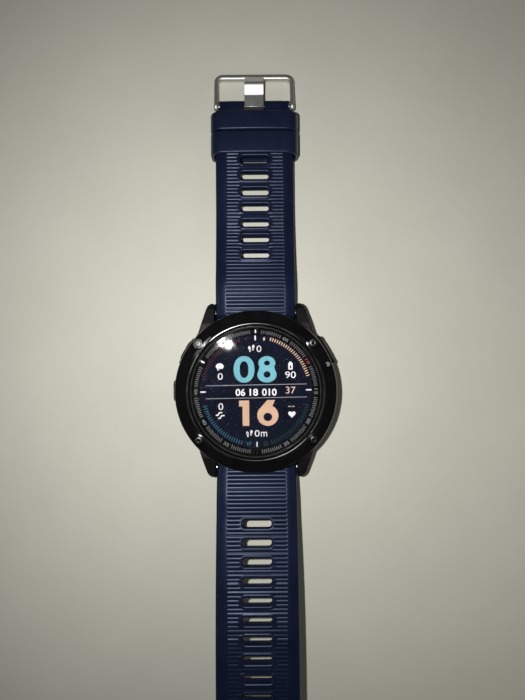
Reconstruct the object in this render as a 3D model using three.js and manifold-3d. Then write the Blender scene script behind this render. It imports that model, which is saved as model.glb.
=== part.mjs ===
// Multisport GPS watch with a round case and a two-part silicone strap, laid open and face up.
// Units are millimetres. +Z points out of the display and +Y to twelve o'clock. The origin is the
// centre of the flat window in the case back, which lies on the surface that the watch rests on.

import * as THREE from 'three';
import { mergeVertices } from 'three/addons/utils/BufferGeometryUtils.js';
import Module from 'manifold-3d';

const wasm = await Module();
wasm.setup();

// ---------------------------------------------------------------- driving dimensions

const CASE_R = 25.5; // outer radius of the case middle
const CAVITY_R = 19.4; // bore that holds the electronics
const CASE_BOTTOM = 3.9;
const CASE_TOP = 9.6;
const WATCH_TOP = 14.9; // thickness of the whole case
const BEZEL_R = 25.4;
const GLASS_R = 19.95;
const DISPLAY_R = 18.5;

const STRAP_WIDTH = 25.8; // fits the 26 mm gap between the lugs
const LUG_GAP = 26.2;
const STRAP_THICK = 3.4;
const STRAP_ROOT_THICK = 5.0; // where it wraps the lug bar
const STRAP_GAP = 0.3; // between neighbouring strap lengths
const SLOT_LENGTH = 9.2;
const SLOT_WIDTH = 2.3;

const LUG_BAR_Y = 25.2;
const LUG_BAR_Z = 5.0;
const LUG_BAR_R = 1.1;

const BUTTON_Z = 6.7;
const BUTTON_TRAVEL = 0.6;
const BUTTON_LENGTH = 7.0;
const BUTTON_HEIGHT = 3.6;
const BUTTON_FLOOR_R = 24.3; // bottom of the pocket in the case wall
const STEM_R = 1.0;

const BEZEL_SCREW_R = 23.5;
const BACK_SCREW_R = 22.4;

const BUCKLE_BAR_Y = 93.8;
const BUCKLE_BAR_Z = 3.05;
const BUCKLE_TILT = THREE.MathUtils.degToRad(10.4); // its far bar lies on the surface
const BUCKLE_NECK = 23.0; // width of the strap end between the buckle's legs

// Sides of the polygons that stand for circles.
const ROUND = 36;
const ROUND_CASE = 48;
const ROUND_SMALL = 12;

// ---------------------------------------------------------------- materials

function material(color, roughness, metalness) {
  return new THREE.MeshStandardMaterial({ color, roughness, metalness });
}

const NAVY_SILICONE = () => material(0x232c46, 0.6, 0);
const GLOSS_BLACK = () => material(0x0c0c0f, 0.2, 0.3);
const MATTE_BLACK = () => material(0x131316, 0.6, 0);
const STEEL = () => material(0xa8a8a4, 0.3, 1);
const DARK_STEEL = () => material(0x4a4a4c, 0.4, 1);
const BLACK_RUBBER = () => material(0x101010, 0.8, 0);
const CLEAR_GLASS = () => material(0x14161c, 0.05, 0);
const DISPLAY_DARK = () => material(0x1a1d26, 0.4, 0);
const BOARD_GREEN = () => material(0x1d4a2c, 0.6, 0);
const CELL_SILVER = () => material(0x9a9ca0, 0.4, 0.6);

// ---------------------------------------------------------------- geometry helpers

const Y_AXIS = new THREE.Vector3(0, 1, 0);
const Z_AXIS = new THREE.Vector3(0, 0, 1);
const X_AXIS = new THREE.Vector3(1, 0, 0);
// Turns a drawing in the XY plane so that it is drawn in YZ and extruded along X.
const DRAWN_IN_YZ = new THREE.Matrix4().makeBasis(Y_AXIS, Z_AXIS, X_AXIS);

// Makes a manifold solid from a closed three.js geometry.
function solid(geometry) {
  const bare = new THREE.BufferGeometry();
  bare.setAttribute('position', geometry.getAttribute('position').clone());
  bare.setIndex(geometry.index ? geometry.index.clone() : null);
  const merged = mergeVertices(bare, 1e-4);
  const corner = (i) => new THREE.Vector3().fromBufferAttribute(merged.getAttribute('position'), i);
  const triangles = [];
  let volume = 0;
  for (let i = 0; i < merged.index.count; i += 3) {
    const [a, b, c] = [0, 1, 2].map((k) => merged.index.getX(i + k));
    if (a === b || b === c || c === a) continue;
    triangles.push([a, b, c]);
    volume += corner(a).dot(corner(b).cross(corner(c)));
  }
  const outward = volume < 0 ? triangles.map(([a, b, c]) => [a, c, b]) : triangles;
  return new wasm.Manifold(new wasm.Mesh({
    numProp: 3,
    vertProperties: Float32Array.from(merged.getAttribute('position').array),
    triVerts: Uint32Array.from(outward.flat()),
  }));
}

function toGeometry(body) {
  const mesh = body.getMesh();
  const indexed = new THREE.BufferGeometry();
  indexed.setAttribute('position', new THREE.BufferAttribute(mesh.vertProperties, 3));
  indexed.setIndex(new THREE.BufferAttribute(mesh.triVerts, 1));
  const geometry = indexed.toNonIndexed();
  geometry.computeVertexNormals();
  return geometry;
}

// A body of revolution about Z, from a closed or axis-to-axis profile of [radius, z] points.
function turned(profile, segments = ROUND) {
  const points = profile.map(([r, z]) => new THREE.Vector2(r, z));
  return new THREE.LatheGeometry(points, segments).rotateX(Math.PI / 2);
}

function ring(innerR, outerR, bottom, top, segments = ROUND) {
  const profile = [[innerR, bottom], [outerR, bottom], [outerR, top], [innerR, top]];
  return turned([...profile, profile[0]], segments);
}

function disc(radius, bottom, top, segments = ROUND) {
  return turned([[0, bottom], [radius, bottom], [radius, top], [0, top]], segments);
}

// A flat plate from a drawing in XY, between two heights.
function plate(shape, bottom, top, curveSegments = 3) {
  const options = { depth: top - bottom, bevelEnabled: false, curveSegments };
  return new THREE.ExtrudeGeometry(shape, options).translate(0, 0, bottom);
}

// A drawing in YZ, extruded along X and centred on X = 0.
function across(shape, width, curveSegments = 3) {
  return plate(shape, -width / 2, width / 2, curveSegments).applyMatrix4(DRAWN_IN_YZ);
}

function box(sizeX, sizeY, sizeZ, x, y, z) {
  return new THREE.BoxGeometry(sizeX, sizeY, sizeZ).translate(x, y, z);
}

// A rod along X, centred on the origin.
function rod(radius, length, segments = 16) {
  return new THREE.CylinderGeometry(radius, radius, length, segments).rotateZ(Math.PI / 2);
}

function roundedRectangle(width, height, radius, x = 0, y = 0) {
  const [w, h] = [width / 2, height / 2];
  const shape = new THREE.Shape();
  shape.moveTo(x - w + radius, y - h);
  shape.lineTo(x + w - radius, y - h);
  shape.absarc(x + w - radius, y - h + radius, radius, -Math.PI / 2, 0);
  shape.lineTo(x + w, y + h - radius);
  shape.absarc(x + w - radius, y + h - radius, radius, 0, Math.PI / 2);
  shape.lineTo(x - w + radius, y + h);
  shape.absarc(x - w + radius, y + h - radius, radius, Math.PI / 2, Math.PI);
  shape.lineTo(x - w, y - h + radius);
  shape.absarc(x - w + radius, y - h + radius, radius, Math.PI, Math.PI * 1.5);
  return shape;
}

function outline(points) {
  return new THREE.Shape(points.map(([x, y]) => new THREE.Vector2(x, y)));
}

const watch = new THREE.Group();

// Adds one named mesh, from a geometry or a manifold solid.
function add(name, shape, look, parent = watch) {
  const body = shape.isBufferGeometry ? solid(shape) : shape;
  const mesh = new THREE.Mesh(toGeometry(body), look);
  mesh.name = name;
  parent.add(mesh);
}

// The four places at one radius and at one angle either side of three and nine o'clock.
function fourCorners(radius, degrees) {
  const angle = THREE.MathUtils.degToRad(degrees);
  const [x, y] = [radius * Math.cos(angle), radius * Math.sin(angle)];
  return [['top_right', x, y], ['top_left', -x, y], ['bottom_left', -x, -y], ['bottom_right', x, -y]];
}

// ---------------------------------------------------------------- case back

const backScrews = fourCorners(BACK_SCREW_R, 45);
const bezelScrews = fourCorners(BEZEL_SCREW_R, 40);
const CHARGING_Y = -16.5;

add('sensor_window', turned([
  [0, 0], [7, 0], [9.2, 0.35], [9.8, 0.9], [9.8, 2.6], [11.4, 2.6], [11.4, 3.2], [0, 3.2],
]), CLEAR_GLASS());

// The strap's rounded ends swing in these two recesses between the lugs.
function strapRecesses(bottom, top) {
  const depth = 8;
  return [1, -1].map((side) => box(
    LUG_GAP, depth, top - bottom, 0, side * (22 + depth / 2), (top + bottom) / 2,
  ));
}

let rearCover = solid(turned([
  [10.1, 0.7], [13, 0.9], [21.8, 2.0], [23.9, 3.0], [23.9, 3.6], [21.3, 3.6],
  [19.3, 2.9], [11.8, 2.3], [10.1, 2.3], [10.1, 0.7],
]));
strapRecesses(0, 5).forEach((recess) => { rearCover = rearCover.subtract(solid(recess)); });
rearCover = rearCover.subtract(solid(plate(roundedRectangle(8.6, 4.4, 1, 0, CHARGING_Y), 0, 5)));
backScrews.forEach(([, x, y]) => {
  rearCover = rearCover.subtract(solid(disc(1.75, 0, 2.75, ROUND_SMALL).translate(x, y, 0)));
  rearCover = rearCover.subtract(solid(disc(0.95, 2, 5, 8).translate(x, y, 0)));
});
add('rear_cover', rearCover, MATTE_BLACK());

// A countersunk screw with a hexagon socket, its head pointing up and its head face at z = 0.
function screw(headR, headHeight, shankR, shankLength) {
  const body = solid(turned([
    [0, 0], [headR - 0.15, 0], [headR, -0.15], [headR, -headHeight], [shankR, -headHeight],
    [shankR, -headHeight - shankLength + 0.3], [shankR - 0.3, -headHeight - shankLength],
    [0, -headHeight - shankLength],
  ], ROUND_SMALL));
  const socketDepth = headHeight * 0.6;
  return body.subtract(solid(disc(headR * 0.5, -socketDepth, 1, 6)));
}

backScrews.forEach(([place, x, y]) => {
  const upsideDown = screw(1.45, 0.7, 0.7, 3.2).rotate([180, 0, 0]).translate([x, y, 1.95]);
  add(`rear_cover_screw_${place}`, upsideDown, DARK_STEEL());
});

add('case_gasket', ring(20.15, 21.0, 3.7, 4.5), BLACK_RUBBER());

const chargingBlock = solid(plate(roundedRectangle(8, 3.8, 0.8, 0, CHARGING_Y), 1.5, 3.4));
const chargingRecess = solid(plate(roundedRectangle(6.4, 2.2, 0.6, 0, CHARGING_Y), 1, 2.2));
add('charging_port', chargingBlock.subtract(chargingRecess), MATTE_BLACK());

// ---------------------------------------------------------------- case middle

// One lug seen from above, for the corner where x and y are positive.
function lugOutline(signX, signY) {
  const points = [
    [LUG_GAP / 2, 16], [LUG_GAP / 2, 27.7], [13.8, 28.2], [14.7, 28.0],
    [15.9, 26.2], [18.3, 18.6], [20.6, 15],
  ];
  return outline(points.map(([x, y]) => [signX * x, signY * y]));
}

// Seen from the side, the lugs slope down to their tips and curve up from the case back.
const lugSide = outline([
  [12, 2.6], [24, 2.6], [27.2, 3.4], [28.3, 4.6], [28.3, 6.8], [26.4, 8.4],
  [21.5, CASE_TOP], [12, CASE_TOP],
]);

const BUTTONS = [
  { name: 'start_button', degrees: 30, reach: 26.9 },
  { name: 'light_button', degrees: 150, reach: 26.6 },
  { name: 'up_button', degrees: 180, reach: 26.7 },
  { name: 'down_button', degrees: 210, reach: 26.5 },
  { name: 'back_button', degrees: 330, reach: 26.5 },
];
const SEAL_FROM_R = 21.2;
const SEAL_TO_R = 22.4;

// A box that lies along a radius of the case, between two radii.
function radialBox(fromR, toR, length, height) {
  return box(toR - fromR, length, height, (fromR + toR) / 2, 0, BUTTON_Z);
}

function radialRod(radius, fromR, toR, segments = ROUND_SMALL) {
  return rod(radius, toR - fromR, segments).translate((fromR + toR) / 2, 0, BUTTON_Z);
}

let midCase = solid(disc(CASE_R, CASE_BOTTOM, CASE_TOP, ROUND_CASE));
[1, -1].forEach((signX) => [1, -1].forEach((signY) => {
  const side = across(lugSide, 60).scale(1, signY, 1);
  const lug = solid(plate(lugOutline(signX, signY), 0, 12)).intersect(solid(side));
  midCase = midCase.add(lug);
}));
midCase = midCase.subtract(solid(disc(CAVITY_R, 0, 12)));
midCase = midCase.subtract(solid(disc(24.2, 0, CASE_BOTTOM))); // seats the rear cover
midCase = midCase.subtract(solid(ring(19.9, 21.3, 3, 4.8)));
strapRecesses(0, 12).forEach((recess) => { midCase = midCase.subtract(solid(recess)); });
BUTTONS.forEach(({ degrees }) => {
  const turn = [0, 0, degrees];
  const pocket = solid(radialBox(BUTTON_FLOOR_R, 30, BUTTON_LENGTH + 0.5, BUTTON_HEIGHT + 0.5));
  const sealBore = solid(radialRod(1.75, SEAL_FROM_R - 0.1, 25));
  const stemBore = solid(radialRod(STEM_R + 0.2, 17, 25));
  [pocket, sealBore, stemBore].forEach((cut) => { midCase = midCase.subtract(cut.rotate(turn)); });
});
bezelScrews.forEach(([, x, y]) => {
  midCase = midCase.subtract(solid(disc(0.85, 6.6, 12, 8).translate(x, y, 0)));
});
backScrews.forEach(([, x, y]) => {
  midCase = midCase.subtract(solid(disc(0.85, 0, 6.4, 8).translate(x, y, 0)));
});
[1, -1].forEach((end) => {
  const barHole = rod(LUG_BAR_R + 0.15, 28.8).translate(0, end * LUG_BAR_Y, LUG_BAR_Z);
  midCase = midCase.subtract(solid(barHole));
});
add('mid_case', midCase, MATTE_BLACK());

add('lug_bar_top', rod(LUG_BAR_R, 28.6).translate(0, LUG_BAR_Y, LUG_BAR_Z), STEEL());
add('lug_bar_bottom', rod(LUG_BAR_R, 28.6).translate(0, -LUG_BAR_Y, LUG_BAR_Z), STEEL());

// ---------------------------------------------------------------- bezel, glass and display

let bezel = solid(turned([
  [19.2, 9.8], [24.6, 9.8], [BEZEL_R, 10.6], [BEZEL_R, 12.7], [24.7, 13.5], [21.9, 14.2],
  [21.5, WATCH_TOP], [20.8, WATCH_TOP], [20.4, 12.1], [19.2, 12.1], [19.2, 9.8],
], ROUND_CASE));
bezelScrews.forEach(([, x, y]) => {
  bezel = bezel.subtract(solid(disc(1.6, 12.4, 16, ROUND_SMALL).translate(x, y, 0)));
  bezel = bezel.subtract(solid(disc(0.95, 9, 13, 8).translate(x, y, 0)));
});
add('bezel', bezel, GLOSS_BLACK());

bezelScrews.forEach(([place, x, y]) => {
  add(`bezel_screw_${place}`, screw(1.3, 1.0, 0.7, 4.8).translate([x, y, 13.5]), DARK_STEEL());
});

const lensEdge = 0.25;
add('lens', turned([
  [0, 13.3], [GLASS_R, 13.3], [GLASS_R, 14.5 - lensEdge], [GLASS_R - lensEdge, 14.5], [0, 14.5],
]), CLEAR_GLASS());
add('lens_gasket', ring(20.02, 20.35, 13.1, 14.2), BLACK_RUBBER());
add('chapter_ring', turned([
  [17.7, 12.2], [20.0, 12.2], [20.0, 13.0], [19.6, 13.0], [17.7, 12.45], [17.7, 12.2],
]), MATTE_BLACK());
add('display_module', disc(DISPLAY_R, 10.95, 12.1), DISPLAY_DARK());
add('display_carrier', ring(15.5, 19.0, 9.5, 10.85), MATTE_BLACK());

// ---------------------------------------------------------------- electronics

let board = solid(disc(18.9, 8.4, 9.3));
const chips = [[7, 7, -4, 4], [5, 5, 6, 5], [6, 4, 3, -5], [4, 4, -7, -6]];
chips.forEach(([sizeX, sizeY, x, y]) => {
  board = board.add(solid(box(sizeX, sizeY, 1.4, x, y, 9.5)));
});
add('main_board', board, BOARD_GREEN());

add('battery', plate(roundedRectangle(23, 18, 2), 3.7, 7.9, 3), CELL_SILVER());
add('vibration_motor', disc(4, 4, 6.8, 24).translate(0, -13.9, 0), STEEL());

// ---------------------------------------------------------------- buttons

// Each button is drawn pointing along +X and then turned to its place on the case wall.
const bevel = 0.4;
const CAP_FROM_R = BUTTON_FLOOR_R + BUTTON_TRAVEL + 0.15;
const CLIP_R = 1.6;
const CLIP_FROM_R = 18.5;
const CLIP_TO_R = 19.0;
const STEM_END_R = 18.1;
const SWITCH_TO_R = STEM_END_R - BUTTON_TRAVEL - 0.1;

function buttonBody(reach) {
  const face = roundedRectangle(BUTTON_LENGTH - 2 * bevel, BUTTON_HEIGHT - 2 * bevel, 1.2);
  const cap = new THREE.ExtrudeGeometry(face, {
    depth: reach - CAP_FROM_R - 2 * bevel,
    bevelThickness: bevel,
    bevelSize: bevel,
    bevelSegments: 1,
    curveSegments: 3,
  });
  cap.applyMatrix4(DRAWN_IN_YZ).translate(CAP_FROM_R + bevel, 0, BUTTON_Z);
  const stem = solid(radialRod(STEM_R, STEM_END_R, CAP_FROM_R + 0.5));
  const clip = solid(radialRod(CLIP_R, CLIP_FROM_R, CLIP_TO_R));
  return solid(cap).add(stem).add(clip);
}

function buttonSeal() {
  const wall = solid(radialRod(1.6, SEAL_FROM_R, SEAL_TO_R));
  return wall.subtract(solid(radialRod(STEM_R + 0.1, SEAL_FROM_R - 1, SEAL_TO_R + 1)));
}

BUTTONS.forEach(({ name, degrees, reach }) => {
  const turn = [0, 0, degrees];
  const dome = solid(radialBox(SWITCH_TO_R - 0.5, SWITCH_TO_R, 1.8, 1.4));
  const housing = solid(radialBox(15.7, SWITCH_TO_R - 0.4, 3.4, 2.4));
  add(name, buttonBody(reach).rotate(turn), name === 'start_button' ? GLOSS_BLACK() : DARK_STEEL());
  add(`${name}_seal`, buttonSeal().rotate(turn), BLACK_RUBBER());
  add(`${name}_switch`, housing.add(dome).rotate(turn), DARK_STEEL());
});

// ---------------------------------------------------------------- strap

// The strap's centre line, as [y, z], from the lug bar outwards. Face up on a flat surface the
// long end arches over it and comes down on its tip, and the buckle end lies down on its loops.
function point(y, z) {
  return new THREE.Vector2(y, z);
}

const tailLine = new THREE.CurvePath();
tailLine.add(new THREE.CubicBezierCurve(
  point(-LUG_BAR_Y, LUG_BAR_Z), point(-45, 12.2), point(-68, 16), point(-95, 16),
));
tailLine.add(new THREE.CubicBezierCurve(
  point(-95, 16), point(-116, 16), point(-132, 7), point(-150, 1.45),
));

const BUCKLE_FLAT_Y = 63; // from here to the buckle the strap lies flat
const buckleLine = new THREE.CurvePath();
buckleLine.add(new THREE.CubicBezierCurve(
  point(LUG_BAR_Y, LUG_BAR_Z), point(38, 7.2), point(48, BUCKLE_BAR_Z),
  point(BUCKLE_FLAT_Y, BUCKLE_BAR_Z),
));
buckleLine.add(new THREE.LineCurve(
  point(BUCKLE_FLAT_Y, BUCKLE_BAR_Z), point(BUCKLE_BAR_Y, BUCKLE_BAR_Z),
));
[tailLine, buckleLine].forEach((line) => { line.arcLengthDivisions = 2000; });

// The centre point, the direction away from the case and the upward normal at a length along a line.
function stationAt(line, length) {
  const share = THREE.MathUtils.clamp(length / line.getLength(), 0, 1);
  const centre = line.getPointAt(share);
  const along = line.getTangentAt(share).normalize();
  const up = along.x > 0 ? point(-along.y, along.x) : point(along.y, -along.x);
  return { centre, along, up, slope: Math.atan(along.y / along.x) };
}

function strapThickness(length, fullLength, tipThickness) {
  const root = 1 - THREE.MathUtils.smoothstep(length, 8, 17);
  const tip = THREE.MathUtils.smoothstep(length, fullLength - 25, fullLength);
  return STRAP_THICK + (STRAP_ROOT_THICK - STRAP_THICK) * root + (tipThickness - STRAP_THICK) * tip;
}

function offsetPoint({ centre, up }, height) {
  return [centre.x + up.x * height, centre.y + up.y * height];
}

// Points of a half circle round a centre, from its top over its back to its underside.
function roundedNose({ centre, along, up }, radius, direction) {
  const steps = 12;
  const points = [];
  for (let i = 1; i < steps; i += 1) {
    const angle = (i / steps) * Math.PI;
    const [rise, run] = [Math.cos(angle) * radius, Math.sin(angle) * radius * direction];
    points.push([centre.x + up.x * rise + along.x * run, centre.y + up.y * rise + along.y * run]);
  }
  return points;
}

// One length of strap as a side drawing between two lengths along its line.
function strapSide({ line, tipThickness }, from, to) {
  const full = line.getLength();
  const [isRoot, isEnd] = [from === 0, to === full];
  const start = isRoot ? from : from + STRAP_GAP / 2;
  const finish = isEnd ? to : to - STRAP_GAP / 2;
  const steps = Math.ceil((finish - start) / 3.2);
  const top = [];
  const underside = [];
  for (let i = 0; i <= steps; i += 1) {
    const length = start + ((finish - start) * i) / steps;
    const station = stationAt(line, length);
    const half = strapThickness(length, full, tipThickness) / 2;
    top.push(offsetPoint(station, half));
    underside.unshift(offsetPoint(station, -half));
  }
  const nose = isRoot ? roundedNose(stationAt(line, 0), STRAP_ROOT_THICK / 2, -1).reverse() : [];
  const end = isEnd ? roundedNose(stationAt(line, full), tipThickness / 2, 1) : [];
  return outline([...top, ...end, ...underside, ...nose]);
}

// Moves a solid drawn along +Y, with +Z up, to a place on a strap line.
function placeOn(line, length, body) {
  const { centre, slope, along } = stationAt(line, length);
  const faced = along.x > 0 ? body : body.rotate([0, 0, 180]);
  return faced.rotate([THREE.MathUtils.radToDeg(slope), 0, 0]).translate([0, centre.x, centre.y]);
}

// The strap end hooks over the lug bar through a mouth in its underside, and a sliding latch
// closes the mouth. Its pocket is cut in the same underside.
const LATCH_WIDTH = 8;
function rootCuts(line) {
  const bore = solid(rod(LUG_BAR_R + 0.2, 40));
  const mouth = solid(box(40, 2.4, 4, 0, 0, -2));
  const pocket = solid(box(LATCH_WIDTH + 0.8, 9.6, 2, 0, 3.5, -2.35));
  return [bore, mouth, pocket].map((cut) => placeOn(line, 0, cut));
}

function latch(line) {
  const slider = solid(box(LATCH_WIDTH, 6.2, 0.7, 0, 2.15, -2.0));
  const fingerTab = solid(box(4, 1.0, 0.7, 0, 4.6, -2.6));
  return placeOn(line, 0, slider.add(fingerTab));
}

const tail = {
  name: 'strap_tail', line: tailLine, tipThickness: 2.6, firstSlot: 17.6, slotPitch: 5.65,
  slots: 17, cutsAfterSlot: [4, 8, 12, 16],
};
const buckleEnd = {
  name: 'strap_buckle', line: buckleLine, tipThickness: STRAP_THICK, firstSlot: 18.9,
  slotPitch: 5.3, slots: 7, cutsAfterSlot: [1, 4],
};

// The buckle end narrows between the buckle's legs, and a notch there lets the tongue through.
function neckCuts() {
  const shoulder = BUCKLE_BAR_Y - 1.6;
  const flank = (STRAP_WIDTH - BUCKLE_NECK) / 2 + 1;
  const flanks = [1, -1].map((side) => box(
    flank, 10, 8, side * (BUCKLE_NECK / 2 + flank / 2), shoulder + 5, BUCKLE_BAR_Z,
  ));
  const notch = box(7.0, 10, 8, 0, BUCKLE_BAR_Y - 1.9 + 5, BUCKLE_BAR_Z);
  const bore = rod(0.95, 40).translate(0, BUCKLE_BAR_Y, BUCKLE_BAR_Z);
  return [...flanks, notch, bore].map(solid);
}

// The tail's tip is rounded when seen from above.
function tipPlan() {
  const [wide, tipY] = [STRAP_WIDTH / 2, -151.6];
  const plan = new THREE.Shape();
  plan.moveTo(wide, -90);
  plan.lineTo(wide, tipY + 13);
  plan.bezierCurveTo(wide, tipY + 4, 6, tipY, 0, tipY);
  plan.bezierCurveTo(-6, tipY, -wide, tipY + 4, -wide, tipY + 13);
  plan.lineTo(-wide, -90);
  return solid(plate(plan, -5, 25, 6));
}

[tail, buckleEnd].forEach((half) => {
  const { line, firstSlot, slotPitch, cutsAfterSlot } = half;
  const full = line.getLength();
  const borders = [0, ...cutsAfterSlot.map((n) => firstSlot + slotPitch * (n - 0.5)), full];
  for (let i = 1; i < borders.length; i += 1) {
    const [from, to] = [borders[i - 1], borders[i]];
    let length = solid(across(strapSide(half, from, to), STRAP_WIDTH, 4));
    for (let n = 0; n < half.slots; n += 1) {
      const place = firstSlot + slotPitch * n;
      if (place < from || place > to) continue;
      const slot = solid(plate(roundedRectangle(SLOT_LENGTH, SLOT_WIDTH, 0.9), -4, 4, 2));
      length = length.subtract(placeOn(line, place, slot));
    }
    if (from === 0) rootCuts(line).forEach((cut) => { length = length.subtract(cut); });
    if (to === full && half === buckleEnd) {
      neckCuts().forEach((cut) => { length = length.subtract(cut); });
    }
    if (to === full && half === tail) length = length.intersect(tipPlan());
    add(`${half.name}_${i}`, length, NAVY_SILICONE());
  }
});

add('quick_release_latch_bottom', latch(tailLine), STEEL());
add('quick_release_latch_top', latch(buckleLine), STEEL());

// ---------------------------------------------------------------- strap loops

const LOOP_WALL = 1.05;
const LOOP_HEIGHT = 9.3;
const LOOP_WIDTH = 28.5;

// A loop round the strap, with room above it for the tail, seen along Y.
function loopBody(length, yCentre) {
  const hole = roundedRectangle(
    LOOP_WIDTH - 2 * LOOP_WALL, LOOP_HEIGHT - 2 * LOOP_WALL, 0.3, 0, LOOP_HEIGHT / 2,
  );
  const [w, r] = [LOOP_WIDTH / 2, 2.4];
  const outer = new THREE.Shape();
  outer.moveTo(-w + r, 0);
  outer.lineTo(w - r, 0);
  outer.quadraticCurveTo(w, 0, w, r);
  outer.lineTo(w, LOOP_HEIGHT - r - 0.5);
  outer.quadraticCurveTo(w, LOOP_HEIGHT - 0.5, w - r, LOOP_HEIGHT - 0.3);
  outer.quadraticCurveTo(0, LOOP_HEIGHT + 0.3, -w + r, LOOP_HEIGHT - 0.3);
  outer.quadraticCurveTo(-w, LOOP_HEIGHT - 0.5, -w, LOOP_HEIGHT - r - 0.5);
  outer.lineTo(-w, r);
  outer.quadraticCurveTo(-w, 0, -w + r, 0);
  outer.holes.push(hole);
  return plate(outer, -length / 2, length / 2, 4).rotateX(Math.PI / 2).translate(0, yCentre, 0);
}

add('fixed_strap_loop', loopBody(6.0, 86.7), NAVY_SILICONE());
add('sliding_strap_loop', loopBody(7.2, 79.8), NAVY_SILICONE());

// ---------------------------------------------------------------- buckle

// The buckle is drawn with its hinge at the origin and its far bar along +Y.
const buckle = new THREE.Group();
buckle.position.set(0, BUCKLE_BAR_Y, BUCKLE_BAR_Z);
buckle.rotation.x = -BUCKLE_TILT;
watch.add(buckle);

const FRAME_OUTER = 27.0;
const FRAME_INNER = 24.0;
const FRAME_REACH = 11.7;
const FAR_BAR = 2.1;
const FRAME_THICK = 2.3;

const framePlan = new THREE.Shape();
const [frameW, cornerR] = [FRAME_OUTER / 2, 2.6];
framePlan.moveTo(-frameW, -1.3);
framePlan.lineTo(frameW, -1.3);
framePlan.lineTo(frameW, FRAME_REACH - cornerR);
framePlan.absarc(frameW - cornerR, FRAME_REACH - cornerR, cornerR, 0, Math.PI / 2);
framePlan.lineTo(-frameW + cornerR, FRAME_REACH);
framePlan.absarc(-frameW + cornerR, FRAME_REACH - cornerR, cornerR, Math.PI / 2, Math.PI);

let frame = solid(plate(framePlan, -FRAME_THICK / 2, FRAME_THICK / 2, 5));
const windowLength = FRAME_REACH - FAR_BAR + 5;
const windowPlan = roundedRectangle(
  FRAME_INNER, windowLength, 1.2, 0, FRAME_REACH - FAR_BAR - windowLength / 2,
);
frame = frame.subtract(solid(plate(windowPlan, -4, 4)));
// Seen from the side the legs end round and the far bar is rounded over.
const frameSide = new THREE.Shape();
const halfThick = FRAME_THICK / 2;
frameSide.absarc(0, 0, 1.3, Math.PI / 2, Math.PI * 1.5);
frameSide.lineTo(FRAME_REACH - 1, -halfThick);
frameSide.absarc(FRAME_REACH - 1, -halfThick + 1, 1, -Math.PI / 2, 0);
frameSide.lineTo(FRAME_REACH, halfThick - 1);
frameSide.absarc(FRAME_REACH - 1, halfThick - 1, 1, 0, Math.PI / 2);
frame = frame.intersect(solid(across(frameSide, 40, 4)));
frame = frame.subtract(solid(rod(0.95, 40)));
add('buckle_frame', frame, STEEL(), buckle);

add('buckle_bar', rod(0.75, 26).translate(0, BUCKLE_BAR_Y, BUCKLE_BAR_Z), STEEL());

// A flat wide tongue, curled round the bar. It rises to a hump and its tip bends down to the far
// bar of the frame.
const tongueSide = new THREE.Shape();
tongueSide.moveTo(0, 1.6);
tongueSide.lineTo(3.2, 2.2);
tongueSide.lineTo(7.6, 3.9);
tongueSide.quadraticCurveTo(9.9, 4.2, 10.9, 1.5);
tongueSide.lineTo(10.1, 1.5);
tongueSide.quadraticCurveTo(9.3, 3.2, 7.8, 3.0);
tongueSide.lineTo(3.5, 1.3);
tongueSide.lineTo(1.5, 0.7);
tongueSide.absarc(0, 0, 1.6, 0.45, Math.PI / 2, true);
const tongue = solid(across(tongueSide, 6.1, 8)).subtract(solid(rod(1.0, 20)));
add('buckle_tongue', tongue, STEEL(), buckle);

export default watch;
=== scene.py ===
"""Looks of a multisport GPS watch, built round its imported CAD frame.

Lengths are in millimetres in this script and become metres when a mesh is made. +Z points out of
the display, +Y to twelve o'clock, and the watch lies face up on the floor at z = 0.
"""

import math

import bmesh
import bpy
from mathutils import Matrix, Vector


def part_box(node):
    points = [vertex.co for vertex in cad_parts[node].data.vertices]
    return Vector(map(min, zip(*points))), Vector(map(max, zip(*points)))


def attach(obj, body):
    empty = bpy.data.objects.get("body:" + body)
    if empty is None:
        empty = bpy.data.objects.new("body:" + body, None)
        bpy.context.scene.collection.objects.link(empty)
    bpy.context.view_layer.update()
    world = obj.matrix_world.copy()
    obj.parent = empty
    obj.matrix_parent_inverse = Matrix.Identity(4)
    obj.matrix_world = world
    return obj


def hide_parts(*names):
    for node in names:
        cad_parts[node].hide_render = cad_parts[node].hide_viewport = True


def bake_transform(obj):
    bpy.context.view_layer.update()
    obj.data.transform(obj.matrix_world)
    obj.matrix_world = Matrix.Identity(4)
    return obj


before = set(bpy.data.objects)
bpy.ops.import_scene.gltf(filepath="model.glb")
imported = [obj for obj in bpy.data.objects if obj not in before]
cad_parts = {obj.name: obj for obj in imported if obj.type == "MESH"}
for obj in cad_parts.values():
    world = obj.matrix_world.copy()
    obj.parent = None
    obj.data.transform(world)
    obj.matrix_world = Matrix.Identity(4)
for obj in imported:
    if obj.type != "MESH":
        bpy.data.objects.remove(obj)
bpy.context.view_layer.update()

MM = 0.001


def node_box(node):
    """A CAD node's lowest and highest corners, in millimetres."""
    low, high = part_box(node)
    return Vector(low) / MM, Vector(high) / MM


# ------------------------------------------------------------------ camera, floor and lights

CAMERA_HEIGHT = 164.0
CAMERA_ROLL = math.radians(-0.43)  # the watch lies a touch askew in the view
CAMERA_AT = Vector((2.16, 12.98, CAMERA_HEIGHT))
FLASH_AT = Vector((-18.8, 16.9, CAMERA_HEIGHT))  # the small lamp beside the camera
FLASH_SPREAD = math.radians(150)
FLASH_TILT = math.radians(-8)

scene = bpy.context.scene
camera_data = bpy.data.cameras.new("camera")
camera_data.lens = 24.94
camera_data.sensor_width = 36.0
camera_data.clip_start = 0.01
camera_data.clip_end = 20.0
camera = bpy.data.objects.new("camera", camera_data)
camera.location = CAMERA_AT * MM
camera.rotation_euler = (0, 0, CAMERA_ROLL)
scene.collection.objects.link(camera)
scene.camera = camera
scene.view_settings.view_transform = "Standard"
scene.view_settings.look = "None"


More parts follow.
